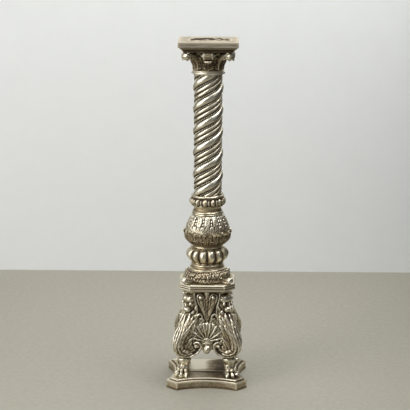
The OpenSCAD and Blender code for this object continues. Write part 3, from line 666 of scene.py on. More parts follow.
# the neck ring: painted light, from the lighter leaf and little wax
turnedPiece("neck_ring",
            [(46, 994.5), (51, 995.2), (53, 998.4), (52, 1002), (48.6, 1003.4), (48.6, 1003.4),
             (49.6, 1004.6), (49.4, 1006.4), (45.5, 1007.5)], 0.20, 34, leafPaintedLight)
print("turned pieces done")

# melon knop

melon = {"low": 395, "high": 441.5, "radius": 68, "seat": 47, "lobes": 14, "groove": 8.2, "foot": 389}


def melonShape(u, v):
    angle = fullTurn * u - math.pi / 2
    rise = ramp(v) * 2 - 1
    swell = np.where(rise < 0, 1.75, 2.1)  # fuller above its middle than below
    arch = np.maximum(0, 1 - np.abs(rise) ** swell) ** 0.62
    body = melon["seat"] + (melon["radius"] - melon["seat"]) * arch
    lobe = np.abs((u * melon["lobes"]) % 1 * 2 - 1)
    cut = melon["groove"] * lobe ** 1.8
    radius = body - cut * np.sqrt(np.maximum(0, 1 - np.abs(rise) ** 4))
    height = melon["low"] + (melon["high"] - melon["low"]) * ramp(v, 0.004, 0.992)
    return closedRound(radius, angle, height, v)


low = melon["foot"]
foot = lathe("melon_foot", flow([(46, low), (49.5, low + 0.6), (50.6, low + 2.8), (49.6, low + 5),
                                 (45, low + 6.4), (44, low + 10)], 0.8), 160)
piece = sheet("carved_melon_knop", melon["lobes"] * 28, 64, melonShape)
joinTo(piece, [foot])
handWork(piece, 24, 0.25, 41)
spots = readPoints(piece)
lobe = np.abs((turnsOf(spots) * melon["lobes"]) % 1 * 2 - 1)
rise = np.abs(spots[:, 2] - (melon["low"] + melon["high"]) / 2) / (melon["high"] - melon["low"]) * 2
hand(piece, "melon_knop", leafWarm, waxAndPaintedLight=0.40 + 0.42 * lobe ** 1.6 + 0.30 * np.minimum(rise, 1) ** 3)

# bulb with beaded husks between its ribs

bulb = {"ribs": 14, "ribRise": 1.5, "ribHalf": 0.34, "hollow": 3.0, "bead": 3.6, "beadHalf": 0.105,
        "pitch": 9.6, "top": 546.5, "leafTop": 520, "leafHalf": 0.24, "leafRise": 1.9, "notch": 514,
        "notchAside": 0.275, "notchDepth": 3.2, "sink": 1.2}
bulbLine = flow([(68.5, 468.5), (69.2, 482), (69.2, 494), (68.2, 506), (65, 520), (59.5, 532), (53, 543),
                 (49.5, 547.8), (49.5, 547.8), (47, 548.6)])


def bulbShape(u, v):
    angle = fullTurn * u - math.pi / 2
    radius, height = alongLine(bulbLine, ramp(v, 0.01, 0.98))
    away = np.abs((u * bulb["ribs"] + 0.5) % 1 - 0.5)
    ridge = ramp(away, bulb["ribHalf"], -0.05)
    string = 0.5 - away
    bump = np.abs((height / bulb["pitch"]) % 1 - 0.5) * 2
    beadRise = np.sqrt(np.maximum(0, 1 - (string / bulb["beadHalf"]) ** 2 - bump ** 2))
    fade = ramp(height, bulb["top"], -3)
    relief = (bulb["ribRise"] * (ridge * (1 - (away / 0.5) ** 2) - 0.45 * np.exp(-(away / 0.04) ** 2))
              - bulb["hollow"] * np.exp(-(string / 0.15) ** 4) + bulb["bead"] * beadRise)
    leafTop = bulb["leafTop"] - 45 * np.abs(string - 0.085) - 260 * np.maximum(0, string - bulb["leafHalf"])
    notch = np.exp(-((string - bulb["notchAside"]) / 0.05) ** 2 - ((height - bulb["notch"]) / 4) ** 2)
    under = ramp(height, leafTop, -1.4)
    lobe = bulb["leafRise"] * (1 - 0.75 * np.exp(-(string / 0.025) ** 2) * ramp(height, 500, -6))
    relief = relief * fade * (1 - under) + under * np.where(string < bulb["leafHalf"], lobe, 0.4)
    relief -= bulb["notchDepth"] * notch
    return closedRound(radius + relief - bulb["sink"], angle, height, v)


piece = sheet("carved_bulb", bulb["ribs"] * 34, 92, bulbShape)
handWork(piece, 7, 0.35, 42)
spots = readPoints(piece)
string = 0.5 - np.abs((turnsOf(spots) * bulb["ribs"] + 0.5) % 1 - 0.5)
bump = np.abs((spots[:, 2] / bulb["pitch"]) % 1 - 0.5) * 2
onBead = np.maximum(0, 1 - (string / 0.10) ** 2 - bump ** 2)
channel = np.exp(-(string / 0.17) ** 4) * ramp(spots[:, 2], 517, 3) * ramp(spots[:, 2], 547, -3)
notch = np.exp(-((string - bulb["notchAside"]) / 0.06) ** 2 - ((spots[:, 2] - bulb["notch"]) / 5) ** 2)
hand(piece, "bulb", leafSilver, waxAndPaintedLight=0.40 + channel * (0.75 - 1.4 * ramp(onBead * 2.5)) + 0.6 * notch)

# leaf cup under the bulb

cup = {"leaves": 14, "vein": 1.0, "valley": 1.4, "lipDrop": 0.05, "curl": 4.5, "inside": 69.5, "low": 448.6,
       "well": 470, "pearl": 3.5, "pearlOut": 74.6, "pearlHeight": 497}
cupLine = flow([(47, cup["low"]), (52.5, 451.5), (60.5, 458), (67, 464.5), (71.2, 471), (73, 478),
                (74, 486), (74.6, 494.6)], 0.6)


def cupShape(u, v):
    angle = fullTurn * u - math.pi / 2
    t = ramp(v, 0.01, 0.74)  # the outer face, then the lip, then the inner face
    inner = ramp(v, 0.80, 0.18)
    leaf = np.abs((u * cup["leaves"] + 0.5) % 1 - 0.5) * 2
    height = t * (1 - cup["lipDrop"] * leaf ** 1.7) * (1 - 0.25 * inner)
    radius, z = alongLine(cupLine, height)
    curl = ramp(t, 0.80, 0.20) ** 2 * (1 - leaf ** 2)
    veins = (np.cos((leaf * 3.2 + t * 1.6) * fullTurn) * 0.5
             + 1.4 * np.exp(-(leaf / 0.10) ** 2) - 1.6 * np.exp(-((1 - leaf) / 0.10) ** 2))
    relief = cup["vein"] * veins * ramp(t * 6) - cup["valley"] * leaf ** 6 * ramp(t * 3)
    radius = radius + relief * (1 - inner) + curl * cup["curl"] * (1 - inner)
    radius = radius * (1 - inner) + cup["inside"] * inner
    z = z + curl - inner * 2.0
    z = np.where(v >= 1, cup["well"], np.where(v <= 0, cup["low"], z))
    return closedRound(radius, angle, z, v)


piece = sheet("carved_leaf_cup", cup["leaves"] * 30, 84, cupShape)
angles = [fullTurn * (k + 0.5) / cup["leaves"] - math.pi / 2 for k in range(cup["leaves"])]
pearls = [bead(roundSpot(cup["pearlOut"], angle, cup["pearlHeight"]), cup["pearl"]) for angle in angles]
joinTo(piece, [ropes("cup_pearls", pearls, 3)])
handWork(piece, 16, 0.4, 43)
spots = readPoints(piece)
# painted highlight: the cup's lip is made lighter
lip = ramp(spots[:, 2], 486, 5) * ramp(np.hypot(spots[:, 0], spots[:, 1]), 73, 2)
hand(piece, "leaf_cup", leafDull, waxAndPaintedLight=0.42 - 0.42 * lip)
print("knops carved")

# bead collar

collar = {"middle": 591, "beads": 13, "out": 49.7, "bead": 9, "phase": -99}
body = lathe("collar_body", flow([(46, 575.5), (50.5, 577), (52.2, 579.5), (50.5, 582), (50.5, 582),
                                  (50, 584), (52, 592), (51, 601), (49.4, 603.5), (49.4, 603.5),
                                  (51.4, 605), (52.2, 607.6), (51.6, 610), (49.7, 612)]), 160)
beads = []
for k in range(collar["beads"]):
    for step, radius, half, out in ((0, collar["bead"], 11.5, 0), (0.5, 3.6, 8.5, 4.2)):
        angle = math.radians(collar["phase"]) + fullTurn * (k + step) / collar["beads"]
        beads.append(bead(roundSpot(collar["out"] + out, angle, collar["middle"]), radius, half=half))
piece = fuse("carved_bead_collar", [body, ropes("collar_beads", beads, 4)], 1.0, 2)
handWork(piece, 12, 0.3, 44)
hand(piece, "bead_collar", leafSilver, waxAndPaintedLight=0.62)

# twisted shaft: wide and narrow strands with beads in the grooves beside the wide ones

shaft = {"low": 612, "high": 994.5, "crest": 44.8, "rise": 3.1, "lead": 138.5, "groove": 6.5, "start": 15.0,
         "wide": 64, "beaded": 18, "narrow": 40, "beadPitch": 6.6, "bead": 2.5, "beadLift": 2.6,
         "beadRelief": 0.05, "section": 252, "steps": 260}


# The section: half a turn holds a wide strand, a beaded groove, two narrow strands, a beaded groove
def strandRadius(degrees):
    place = (degrees + shaft["wide"] / 2) % 180
    spans = [("wide", shaft["wide"]), ("beaded", shaft["beaded"]), ("narrow", shaft["narrow"]),
             ("narrow", shaft["narrow"]), ("beaded", shaft["beaded"])]
    for kind, span in spans:
        if place <= span:
            x = place / span * 2 - 1
            arch = 1 - math.sqrt(max(0, 1 - (x * 0.97) ** 2))
            if kind == "wide":
                return shaft["crest"] + shaft["rise"] - (shaft["groove"] + 2) * arch
            if kind == "narrow":
                return shaft["crest"] - (shaft["groove"] - 0.8) * arch
            return shaft["crest"] - shaft["groove"] + 0.6
        place -= span


clear()
bpy.ops.mesh.primitive_circle_add(vertices=shaft["section"])
piece = bpy.context.active_object
piece.name = piece.data.name = "carved_twist_shaft"
for k, vertex in enumerate(piece.data.vertices):
    degrees = 360 * k / shaft["section"]
    radius, angle = strandRadius(degrees - shaft["start"]) * mm, math.radians(degrees)
    vertex.co = roundSpot(radius, angle, shaft["low"] * mm)
length = shaft["high"] - shaft["low"]
finishWith(piece, "SCREW", axis="Z", angle=fullTurn * length / shaft["lead"], screw_offset=length * mm,
           steps=shaft["steps"], render_steps=shaft["steps"], use_smooth_shade=True)
bpy.ops.object.mode_set(mode="EDIT")
bpy.ops.mesh.select_all(action="DESELECT")
bpy.ops.mesh.select_non_manifold(extend=False)
bpy.ops.mesh.fill_holes(sides=0)
bpy.ops.object.mode_set(mode="OBJECT")
tidyMesh(piece)
spots = readPoints(piece)
degrees = np.degrees(np.arctan2(spots[:, 1], spots[:, 0])) - shaft["start"]
degrees -= 360 * (spots[:, 2] - shaft["low"]) / shaft["lead"]
nominal = np.array([strandRadius(turn) for turn in degrees])
grooves = ramp(nominal, shaft["crest"] + 1.8, 0.2 - shaft["groove"]) ** 1.3
handWork(piece, 40, 0.35, 51)
strings = []
run = math.hypot(fullTurn * shaft["crest"], shaft["lead"]) / shaft["lead"]  # a groove's length by height
count = int(length * run / shaft["beadPitch"])
around = shaft["crest"] - shaft["groove"] + shaft["beadLift"]
for side in (-1, 1):
    for half in (0, 180):
        middle = shaft["start"] + half + side * (shaft["wide"] + shaft["beaded"]) / 2
        for k in range(count):
            rise = (k + 0.5) / count * length
            angle = math.radians(middle + 360 * rise / shaft["lead"])
            strings.append(roundSpot(around, angle, shaft["low"] + rise))
print("shaft beads", len(strings))
clear()
bpy.ops.mesh.primitive_ico_sphere_add(subdivisions=1, radius=shaft["bead"] * mm)
dot = bpy.context.active_object
dotSpots = readPoints(dot)
dotFaces = [tuple(face.vertices) for face in dot.data.polygons]
allSpots = np.concatenate([dotSpots + np.array(p) for p in strings])
allFaces = [tuple(i + len(dotSpots) * k for i in face) for k in range(len(strings)) for face in dotFaces]
dot.data.clear_geometry()
dot.data.from_pydata(allSpots * mm, [], allFaces)
dot.name = dot.data.name = "shaft_beads"
facing = normalsOf(piece)[:, 2]  # painted shade on the under flank of each strand, painted light on its upper flank
hand(piece, "twist_shaft", leafSilver,
     waxAndPaintedLight=0.40 + 0.95 * grooves + 0.30 * ramp(-facing) - 0.25 * ramp(facing))
layer = dot.data.attributes.new("relief", "FLOAT", "POINT")
layer.data.foreach_set("value", np.full(len(allSpots), shaft["beadRelief"], np.float32))
dot.data.materials.append(leafSilver)
only(dot)
bpy.ops.object.shade_smooth()
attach(dot, "root")
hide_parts("twist_shaft")
print("shaft wound")

# console legs: a scrolled band round a ribbed leaf, on both faces of each corner

leg = {"face": 130, "diagonal": 84.4, "rollZ": 284.5, "rollRadius": 11.8, "rollHalf": 18, "voxel": 1.2,
       "budOut": 97, "budZ": 251.5, "budRadius": 7.8, "budHalf": 13, "steps": 8, "stepLow": 104, "step": 18.5,
       "neck": 4.5, "belly": 2.2}
outerBand = [(64, 250), (66, 242), (70, 230), (75.5, 214), (81.5, 194), (88, 174), (94.5, 157), (98.5, 141),
             (98, 126), (93, 113), (84, 104.5), (73, 101), (60, 100), (46, 102.5), (34, 109), (25, 119),
             (21, 129), (22, 138), (28.5, 145), (37, 145.5), (43, 140)]
innerBand = [(60, 244), (62, 230), (67, 214), (73.5, 196), (80, 178), (87, 161), (91, 145), (90.5, 130),
             (85, 117), (74, 109.5), (60, 108), (48, 111), (38, 117)]
# The fingers of the leaf, each from its root to its tip, and how wide it is
fingers = [([(88, 134), (85, 152), (74, 172), (61, 191), (55, 204)], 4.6),
           ([(80, 126), (77, 143), (66, 160), (53, 175), (45, 187)], 4.6),
           ([(69, 118), (67, 135), (57, 150), (47, 162)], 4.2),
           ([(79, 176), (73, 194), (64, 212), (58, 228), (56, 240)], 3.8),
           ([(72, 184), (64, 200), (54, 214), (46, 230)], 4.2),
           ([(66, 186), (58, 199), (47, 210), (37, 222)], 4.4),
           ([(57, 114), (60, 127), (55, 140), (50, 149)], 3.6),
           ([(60, 176), (52, 188), (43, 197), (36, 207)], 4.0)]
# Hollows and small leaves in the foot's curl, then both bands: their points, radii and how far they stand out
curls = [([(76, 118), (62, 116), (50, 118), (40, 124), (36, 131)], (5, 8, 8, 8, 5), -4.5),
         ([(70, 128), (58, 126), (50, 130), (48, 138)], (5, 8, 8, 8, 5), -4.5),
         ([(78, 120), (66, 124), (56, 122), (47, 126)], (1.0, 2.4, 2.6, 1.2), 1.2),
         ([(62, 112), (52, 120), (49, 130), (53, 138)], (1.0, 2.2, 2.4, 1.2), 1.2),
         (outerBand, (2.4, 3.2, 3.4, 3.4, 3.4, 3.2, 3.0, 3.2, 3.2), 1.0),
         (innerBand, (1.2, 1.8, 2.0, 1.8, 1.2), 0.2)]
# Smooth round lobes at the leaf's inner edge: place, height, radius, half length and lean
lobes = [(47, 240, 6.0, 9, 0.5), (38, 251, 4.6, 12, 0.35), (40, 188, 4.6, 9, 0.3), (55, 146, 3.0, 3, 0),
         (64, 150, 2.6, 3, 0), (60, 137, 2.6, 3, 0), (50, 133, 2.4, 3, 0)]


def legParts(node):
    body = fuse("leg_body", [cadCopy(node)], 2.2, 14)
    spots = readPoints(body)
    spots[:, :2] += leg["neck"] * ramp(spots[:, 2], 295, 4)[:, None]  # its neck draws back
    movePoints(body, spots)
    tree = skinOf(body)
    lines = []

    def carve(points, radii, out=0.0, tip=0.0):
        start = [(-a, -leg["face"], z) for a, z in flow(points, 3)]
        landed = onSkin(tree, start, (0, 1, 0), out)
        if len(landed) < 3:
            return
        path = flow(landed, 2.0)
        path[:, 1] -= tip * np.linspace(0, 1, len(path)) ** 2
        widths = taper(len(path), *radii)
        lines.append((path, widths))
        lines.append((path[:, [1, 0, 2]], widths))

    for points, radii, out in curls:
        carve(points, radii, out)
    for points, wide in fingers:
        line = flow(points, 3)
        ways = np.gradient(line, axis=0)
        ways = np.stack([ways[:, 1], -ways[:, 0]], 1) / np.linalg.norm(ways, axis=1)[:, None]
        swell = np.sin(np.linspace(0.12, 0.94, len(line)) * math.pi)[:, None]
        carve(line, (2.0, 4.4, 5.4, 5.0, 2.6), -2.6, 3.4)
        for side in (-1, 0, 1):
            carve(line + side * wide * swell * ways, (0.8, 1.7, 2.1, 1.8, 1.0), 1.4 - 0.9 * abs(side), 3.8)
    for a, z, radius, half, lean in lobes:
        for x, y, h in onSkin(tree, [(-a, -leg["face"], z)], (0, 1, 0), 0.5):
            lines.append(bead((x, y, h), radius, (lean, -0.25, 1), half))
            lines.append(bead((y, x, h), radius, (-0.25, lean, 1), half))
    for x, y, z in onSkin(tree, [(-36, -leg["face"], 134.5)], (0, 1, 0), 1.5):  # the eye of the foot's curl
        lines.append(bead((x, y, z), 5.6))
        lines.append(bead((y, x, z), 5.6))
    for k in range(leg["steps"]):  # the lobes down the corner, each rising over the next
        foot = leg["stepLow"] + leg["step"] * k
        start = [cornerSpot(190, 0, foot + rise) for rise in (0, 5, 10, 15, 20, 24)]
        landed = onSkin(tree, start, -outward, 0.2)
        if len(landed) > 3:
            path = flow(landed, 2.0)
            path += outward * (2.4 * np.linspace(0, 1, len(path)) ** 2)[:, None]
            lines.append((path, taper(len(path), 2.4, 4.0, 4.6, 3.8, 1.6)))
    for out, rise, radius, half in ((leg["diagonal"], leg["rollZ"], leg["rollRadius"], leg["rollHalf"]),
                                    (leg["budOut"], leg["budZ"], leg["budRadius"], leg["budHalf"])):
        middle = cornerSpot(out, 0, rise)
        ends = np.linspace(-1, 1, 13)
        lines.append((middle + np.outer(ends * half, across), radius * (1 - 0.16 * ends ** 2)))
        for side in (-1, 1):
            spin = np.linspace(0.6, 9.5, 40)
            reach = np.linspace(radius - 2.6, 2.4, 40)
            path = (middle + across * side * (half - 0.3)
                    + np.outer(reach * np.cos(spin), outward) + np.outer(reach * np.sin(spin), (0, 0, 1)))
            lines.append((path, taper(40, 2.4, 2.2, 1.6)))
            lines.append(bead(middle + across * side * (half + 0.6), radius * 0.36))
    for side in (-1, 1):  # the small ball under the head
        lines.append(bead(cornerSpot(92, side * 17, 271), 5.2))
    return [body, ropes("leg_ribs", lines)]


piece = fuse("leg", legParts("leg_front_left"), leg["voxel"], 2)
handWork(piece, 9, 0.35, 71)
cornerCopies(piece, "leg", leafSilver, waxAndPaintedLight=0.49)
for corner in corners:  # carved by eye: the bellies of the legs sit a little to one side
    piece = bpy.data.objects["carved_leg_" + corner]
    spots = readPoints(piece)
    spots[:, 0] += leg["belly"] * np.sin(ramp(spots[:, 2], 96, 190) * math.pi) ** 0.7
    movePoints(piece, spots)
print("legs carved")

# shell panels between the legs

shell = {"centre": 150, "ribs": 8, "spread": 152, "reach": 59, "bulge": 15, "ground": -66, "back": -54.2,
         "crest": -2.0, "flute": 4.0}
groundLine = [(13, 115), (17, 121), (15.8, 134), (19, 145), (28, 152), (40, 152.5), (45, 166), (42.5, 187),
              (36.5, 206), (33.5, 226), (35.5, 256), (41.5, 280), (42.5, 309.8)]
petalEdge = [(3.4, 216), (9, 232), (18, 254), (26.5, 272), (31, 286), (29.5, 296), (22, 300), (14, 296),
             (10, 286), (8, 266), (5, 242), (3.4, 216)]
outline = groundLine + [(-x, z) for x, z in groundLine[::-1]]
body = slab("shell_ground", outline, shell["ground"], shell["back"])
lines = []
for k in range(shell["ribs"] * 2 - 1):  # its ribs, with a fine one in each groove between them
    angle = math.radians(shell["spread"] * (k / (shell["ribs"] * 2 - 2) - 0.5))
    crest = k % 2 == 0
    reach = shell["reach"] * (1 - 0.14 * abs(math.sin(angle)) ** 3) - (0 if crest else 3.5)
    out = np.linspace(3, reach, 18)
    depth = shell["ground"] - shell["bulge"] * np.sin(ramp(out / reach) ** 0.8 * math.pi * 0.72)
    depth += shell["crest"] if crest else shell["flute"]
    path = np.stack([out * math.sin(angle), depth, shell["centre"] - 2 + out * math.cos(angle)], 1)
    lines.append((path, 0.7 + (0.068 if crest else 0.12) * out))
    lines.append(bead(path[-1], 0.6 + (0.062 if crest else 0.125) * reach))


# A rib on the panel beside its middle, this far behind the ground
def panelRib(side, depth, points, radii, gap=2):
    rib(lines, [(side * x, shell["ground"] + depth, z) for x, z in points], radii, gap)


for side in (-1, 1):  # a petal with its veins and curl, two curls beside the shell and the panel's edge
    panelRib(side, -2, petalEdge, (1.4, 2.2, 2.4, 2.6, 2.2, 1.8, 1.4))
    panelRib(side, 3, [(4, 222), (10, 244), (16, 264), (20, 284)], (2.5, 5.5, 8.0, 9.0))
    for lean in (-2.6, 0.4, 3.4):
        vein = [(5 + lean * 0.2, 230), (10 + lean * 0.6, 246), (15 + lean, 262), (18.5 + lean, 277)]
        panelRib(side, -4.6, vein, (0.4, 0.9, 1.2, 0.8))
    lines.append(bead((side * 20, shell["ground"] - 7, 291), 7.0))
    panelRib(side, -4.5, [(34, 216), (31, 229), (24.5, 235), (17, 231), (15.5, 223), (20, 218), (24, 222)],
             (2.0, 3.4, 3.4, 2.8, 2.0), 1.5)
    panelRib(side, -5, [(14.5, 225), (13, 217), (16, 209), (24, 205)], (1.6, 2.6, 1.6), 1.5)
    panelRib(side, -3, [(36, 214), (31, 240), (33, 262), (38, 282), (40, 304)], (1.8, 2.4, 2.4, 1.8))
for depth, heights, radii in ((4, (214, 240, 270, 308), (3.5, 6.0, 8.5, 9.5)),
                              (-3, (210, 224, 240, 256), (1.6, 1.8, 1.2, 0.5))):
    lines.append((np.array([(0, shell["ground"] + depth, z) for z in heights]), radii))
lines.append(bead((0, shell["ground"] - 16, 122.5), 13.8, half=14.6))  # the pendant, and the bands above it
for depth, z, radius, half in ((-13, 140.5, 4.2, 12.5), (-9, 148.5, 5.2, 17), (-11, 154, 5.0, 9)):
    lines.append(bead((0, shell["ground"] + depth, z), radius, (1, 0, 0), half))
piece = fuse("shell", [body, ropes("shell_ribs", lines)], 1.1, 2)
high = ramp(readPoints(piece)[:, 2], 214, 8)
low = ramp(readPoints(piece)[:, 2], 142, -8)
handWork(piece, 9, 0.35, 72)
cornerCopies(piece, "shell", leafSilver, sides, 0.30 + 0.26 * high + 0.16 * low)
print("shells carved")

# paws and ankle cups

paw = {"place": 71.42, "floor": 31.5, "top": 70.5, "toes": (-57, -19, 19, 57), "cords": 13}
root = np.array([-paw["place"], -paw["place"], 0])
lines = [bead(root + outward * 2 + (0, 0, 44), 17.5, half=26), bead(root + (0, 0, 60), 16.5, half=24),
         bead(root - outward * 6 + (0, 0, 38), 14, half=10)]


# Spots of the paw this many degrees aside of the corner, from (reach, height) pairs
def toeSpots(degrees, points):
    way = outward * math.cos(math.radians(degrees)) + across * math.sin(math.radians(degrees))
    return [root + way * r + (0, 0, z) for r, z in points]


for toe in paw["toes"]:  # two bones with their knuckles, a claw and the cords of the wrist
    rib(lines, toeSpots(toe, [(7, 66), (12, 60), (17.5, 53.5), (20.5, 47), (24, 42), (26.5, 37.5)]),
        (3.0, 4.6, 5.4, 3.4, 4.4, 5.2, 4.2), 1.2)
    for spot, radius in zip(toeSpots(toe, [(19.5, 54), (27, 38.8)]), (6.2, 6.3)):
        lines.append(bead(spot, radius))
    rib(lines, toeSpots(toe, [(27, 41), (32, 38.5), (34, 34.5), (34.2, 32.2)]), (3.0, 2.8, 1.8, 0.8), 0.9)
    for step in (-paw["cords"], paw["cords"]):
        rib(lines, toeSpots(toe + step, [(13.5, 69), (15.5, 62), (18, 55), (19, 47)]), (1.4, 2.0, 1.8, 1.0))
piece = fuse("paw", [ropes("paw_bones", lines)], 1.0, 2)
bpy.ops.object.mode_set(mode="EDIT")
for height, below in ((paw["floor"], True), (paw["top"] + 1, False)):  # cut flat at both ends
    bpy.ops.mesh.select_all(action="SELECT")
    bpy.ops.mesh.bisect(plane_co=(0, 0, height * mm), plane_no=(0, 0, 1), use_fill=True,
                        clear_inner=below, clear_outer=not below)
bpy.ops.object.mode_set(mode="OBJECT")
handWork(piece, 11, 0.3, 73)
cornerCopies(piece, "paw", leafRubbed)

ankleLine = flow([(14, 70.5), (15, 73), (18.8, 79), (21.6, 85), (22, 89), (20.8, 92), (17.5, 94)], 0.8)


def ankleShape(u, v):
    radius, height = alongLine(ankleLine, ramp(v, 0.02, 0.96))
    x, y, z = closedRound(radius, fullTurn * u, height, v)
    return x - paw["place"], y - paw["place"], z


cornerCopies(sheet("ankle", 112, 40, ankleShape), "ankle", leafRubbed)
print("paws carved")

# foliage drum and its corner spurs

drum = {"vine": 351.5, "sway": 7.5, "bends": 8, "round": 70, "sprays": 16, "leaflets": 60}
body = lathe("drum_body", flow([(67.5, 334), (70.3, 337), (71.2, 343), (69.6, 353.5), (65.5, 363),
                                (60.4, 368.4), (60.4, 368.4), (58, 369.5)], 1.2), 200)
tree = skinOf(body)
lines = []


def onDrum(turns, radii, out=0.3):
    ribRound(lines, tree, 110, turns, radii, out, gap=1.6)


for k in range(drum["bends"]):  # the vine sways, with a scroll and its leaves in each bend
    base = -90 + 360 / drum["bends"] * (k + 0.5)
    flip = 1 if k % 2 else -1
    middle = drum["vine"] + flip * 2.5
    reach = 180 / drum["bends"]
    onDrum([(base + reach * s, drum["vine"] - flip * drum["sway"] * math.cos(math.pi / 2 * s))
            for s in np.linspace(-1, 1, 9)], (1.6, 2.0, 1.6))
    spin = np.linspace(-0.4, 8.4, 26)
    onDrum(spray(base, middle, drum["round"], spin, np.linspace(9.5, 2.0, 26), 1, flip), (2.4, 2.4, 2.0))
    for lean in (-75, -48, -22, 4, 30, 56, 82):
        reaches = np.linspace(1, 16.5 - abs(lean) * 0.05, 5)
        onDrum(spray(base + 10, middle - flip * 2, drum["round"], math.radians(90 + lean), reaches, 1, flip),
               (1.4, 2.7, 2.9, 1.4), -0.3)
    reaches = np.linspace(1, 13.5, 5)
    for lean in (5, 32, 58, 85, 112, 140):
        onDrum(spray(base - 12, middle + flip * 4, drum["round"], math.radians(lean), reaches, 1, -flip),
               (1.4, 2.5, 2.5, 1.2), -0.3)
    for shift, lift in ((-20, -7), (-14, -9), (14, 8), (20, 6)):
        onDrum([(base + shift, middle + flip * lift), (base + shift + 5, middle + flip * (lift + 3.5)),
                (base + shift + 9, middle + flip * lift)], (1.2, 2.4, 1.2), 0.0)
for k in range(drum["sprays"]):  # slanting sprays fill the ground
    base = -90 + 360 / drum["sprays"] * (k + 0.25)
    for row, (low, high) in enumerate(((336, 352), (348, 365))):
        for step in (-6.5, -1.5, 3.5, 8.5):
            turn = base + step + 9 * row
            onDrum([(turn, low), (turn + 5.5, (low + high) / 2 - 1), (turn + 9.5, high)],
                   (1.6, 2.9, 3.0, 1.4), -0.2)
chance = np.random.default_rng(74)
for k in range(drum["leaflets"]):  # loose leaflets, each a little different
    turn, low = chance.uniform(0, 360), chance.uniform(337, 354)
    lean, long = chance.uniform(-14, 14), chance.uniform(8, 15)
    onDrum([(turn, low), (turn + lean * 0.7, low + long * 0.5), (turn + lean, low + long)],
           (1.0, chance.uniform(2.4, 3.8), chance.uniform(2.0, 3.0), 1.0), 1.1)
piece = fuse("carved_foliage_drum", [body, ropes("drum_leaves", lines)], 1.1, 1)
handWork(piece, 8, 0.4, 75)
hand(piece, "foliage_drum", leafDull)


# A rolled scroll with a spiral cord on both its ends
def scroll(lines, middle, across, outward, radius, half, cord, turns=1.8, waist=0.12):
    ends = np.linspace(-1, 1, 11)
    lines.append((middle + np.outer(ends * half, across), radius * (1 - waist * ends ** 2)))
    for side in (-1, 1):
        spin = np.linspace(1.2, 1.2 + fullTurn * turns, 40)
        reach = np.linspace(radius - cord, 1.2, 40)
        path = (middle + across * side * half + np.outer(reach * np.cos(spin), outward)
                + np.outer(reach * np.sin(spin), (0, 0, 1)))
        lines.append((path, taper(40, cord, cord, cord * 0.8)))
        lines.append(bead(middle + across * side * (half + 0.5), radius * 0.34))


spur = {"front": 101.5, "rear": 88, "height": 346.5, "root": 68}
for i, corner in enumerate(corners):
    reach = spur["front"] if corner.startswith("front") else spur["rear"]
    lines = []
    scroll(lines, cornerSpot(reach, 0, spur["height"]), across, outward, 9.2, 8.0, 1.8)
    for s in (-5, 0, 5):
        cornerRib(lines, s, [(spur["root"], 340), (reach - 20, 338.5), (reach - 10, 339), (reach, 340)],
                  (3.5, 4.5, 4.8, 4.5))
        cornerRib(lines, s * 0.8, [(reach - 2, 354), (reach - 10, 350), (reach - 17, 346),
                                   (spur["root"], 345)], (2.2, 2.6, 2.4, 1.4))
    piece = fuse("carved_spur_" + corner, [ropes("spur_scroll", lines)], 1.0, 1)
    piece.data.transform(Matrix.Rotation(math.pi / 2 * i, 4, "Z"))
    hand(piece, "spur_" + corner, leafSilver)
print("drum and spurs carved")

# capital: bell, corner volutes and face rolls

bell = {"leaves": 8, "round": 60, "helix": 27, "helixHeight": 1055.5}
body = lathe("bell_body", flow([(44.6, 1007.5), (45.6, 1019.7), (49.5, 1033), (56.5, 1046), (64, 1062),
                                (66, 1068.5)], 1.2), 180)
tree = skinOf(body)
lines = []


def onBell(turns, radii, out=0.3, tip=0.0):
    ribRound(lines, tree, 120, turns, radii, out, tip)


leafParts = [(0.0, 0.95, 0.34), (0.16, 1.0, 0.40), (0.36, 0.86, 0.44), (0.56, 0.62, 0.42)]
for tier in ({"first": -90, "low": 1008, "rise": 27, "wide": 21, "tip": 0.07},
             {"first": -67.5, "low": 1018, "rise": 33, "wide": 17, "tip": 0.06}):
    for k in range(bell["leaves"]):
        base = tier["first"] + 360 / bell["leaves"] * k
        onBell([(base, tier["low"] + share * tier["rise"]) for share in (0, 0.5, 1)], (3.4, 3.2, 2.6), 0.8,
               tier["tip"] * 1.3)
        for part, reach, lift in leafParts:
            for side in (-1, 1):  # a finger and the fine vein on it
                low = tier["low"] + part * tier["rise"]
                lean = side * tier["wide"] * reach
                rise = lift * tier["rise"]
                bend = low + rise * 0.62
                onBell([(base + side * 1.2, low), (base + lean * 0.5, bend), (base + lean, low + rise)],
                       (1.8, 3.4, 3.4, 1.8), 0.0, tier["tip"])
                onBell([(base + side * 1.6, low + 1), (base + lean * 0.5, bend + 1),
                        (base + lean * 0.9, low + rise * 0.9 + 1)], (0.8, 1.4, 0.8), 2.6, tier["tip"])
for k in range(4):
    for side in (-1, 1):  # a small helix and its leaves beside each face's roll
        base = -90 + 90 * k + side * bell["helix"]
        spin = np.linspace(-1.2, 8.6, 26)
        helix = spray(base, bell["helixHeight"], bell["round"], spin, np.linspace(9.5, 1.8, 26), side)
        onBell(helix, (2.2, 2.2, 1.8), 1.2)
        for lean in (200, 235, 270, 305):
            reaches = np.linspace(3, 14, 5)
            leaf = spray(base, bell["helixHeight"] - 3.5, bell["round"], math.radians(lean), reaches, side)
            onBell(leaf, (1.4, 2.4, 1.4), 0.5)
piece = fuse("carved_capital_bell", [body, ropes("bell_leaves", lines)], 1.0, 1)
handWork(piece, 8, 0.4, 76)
hand(piece, "capital_bell", leafDeep)

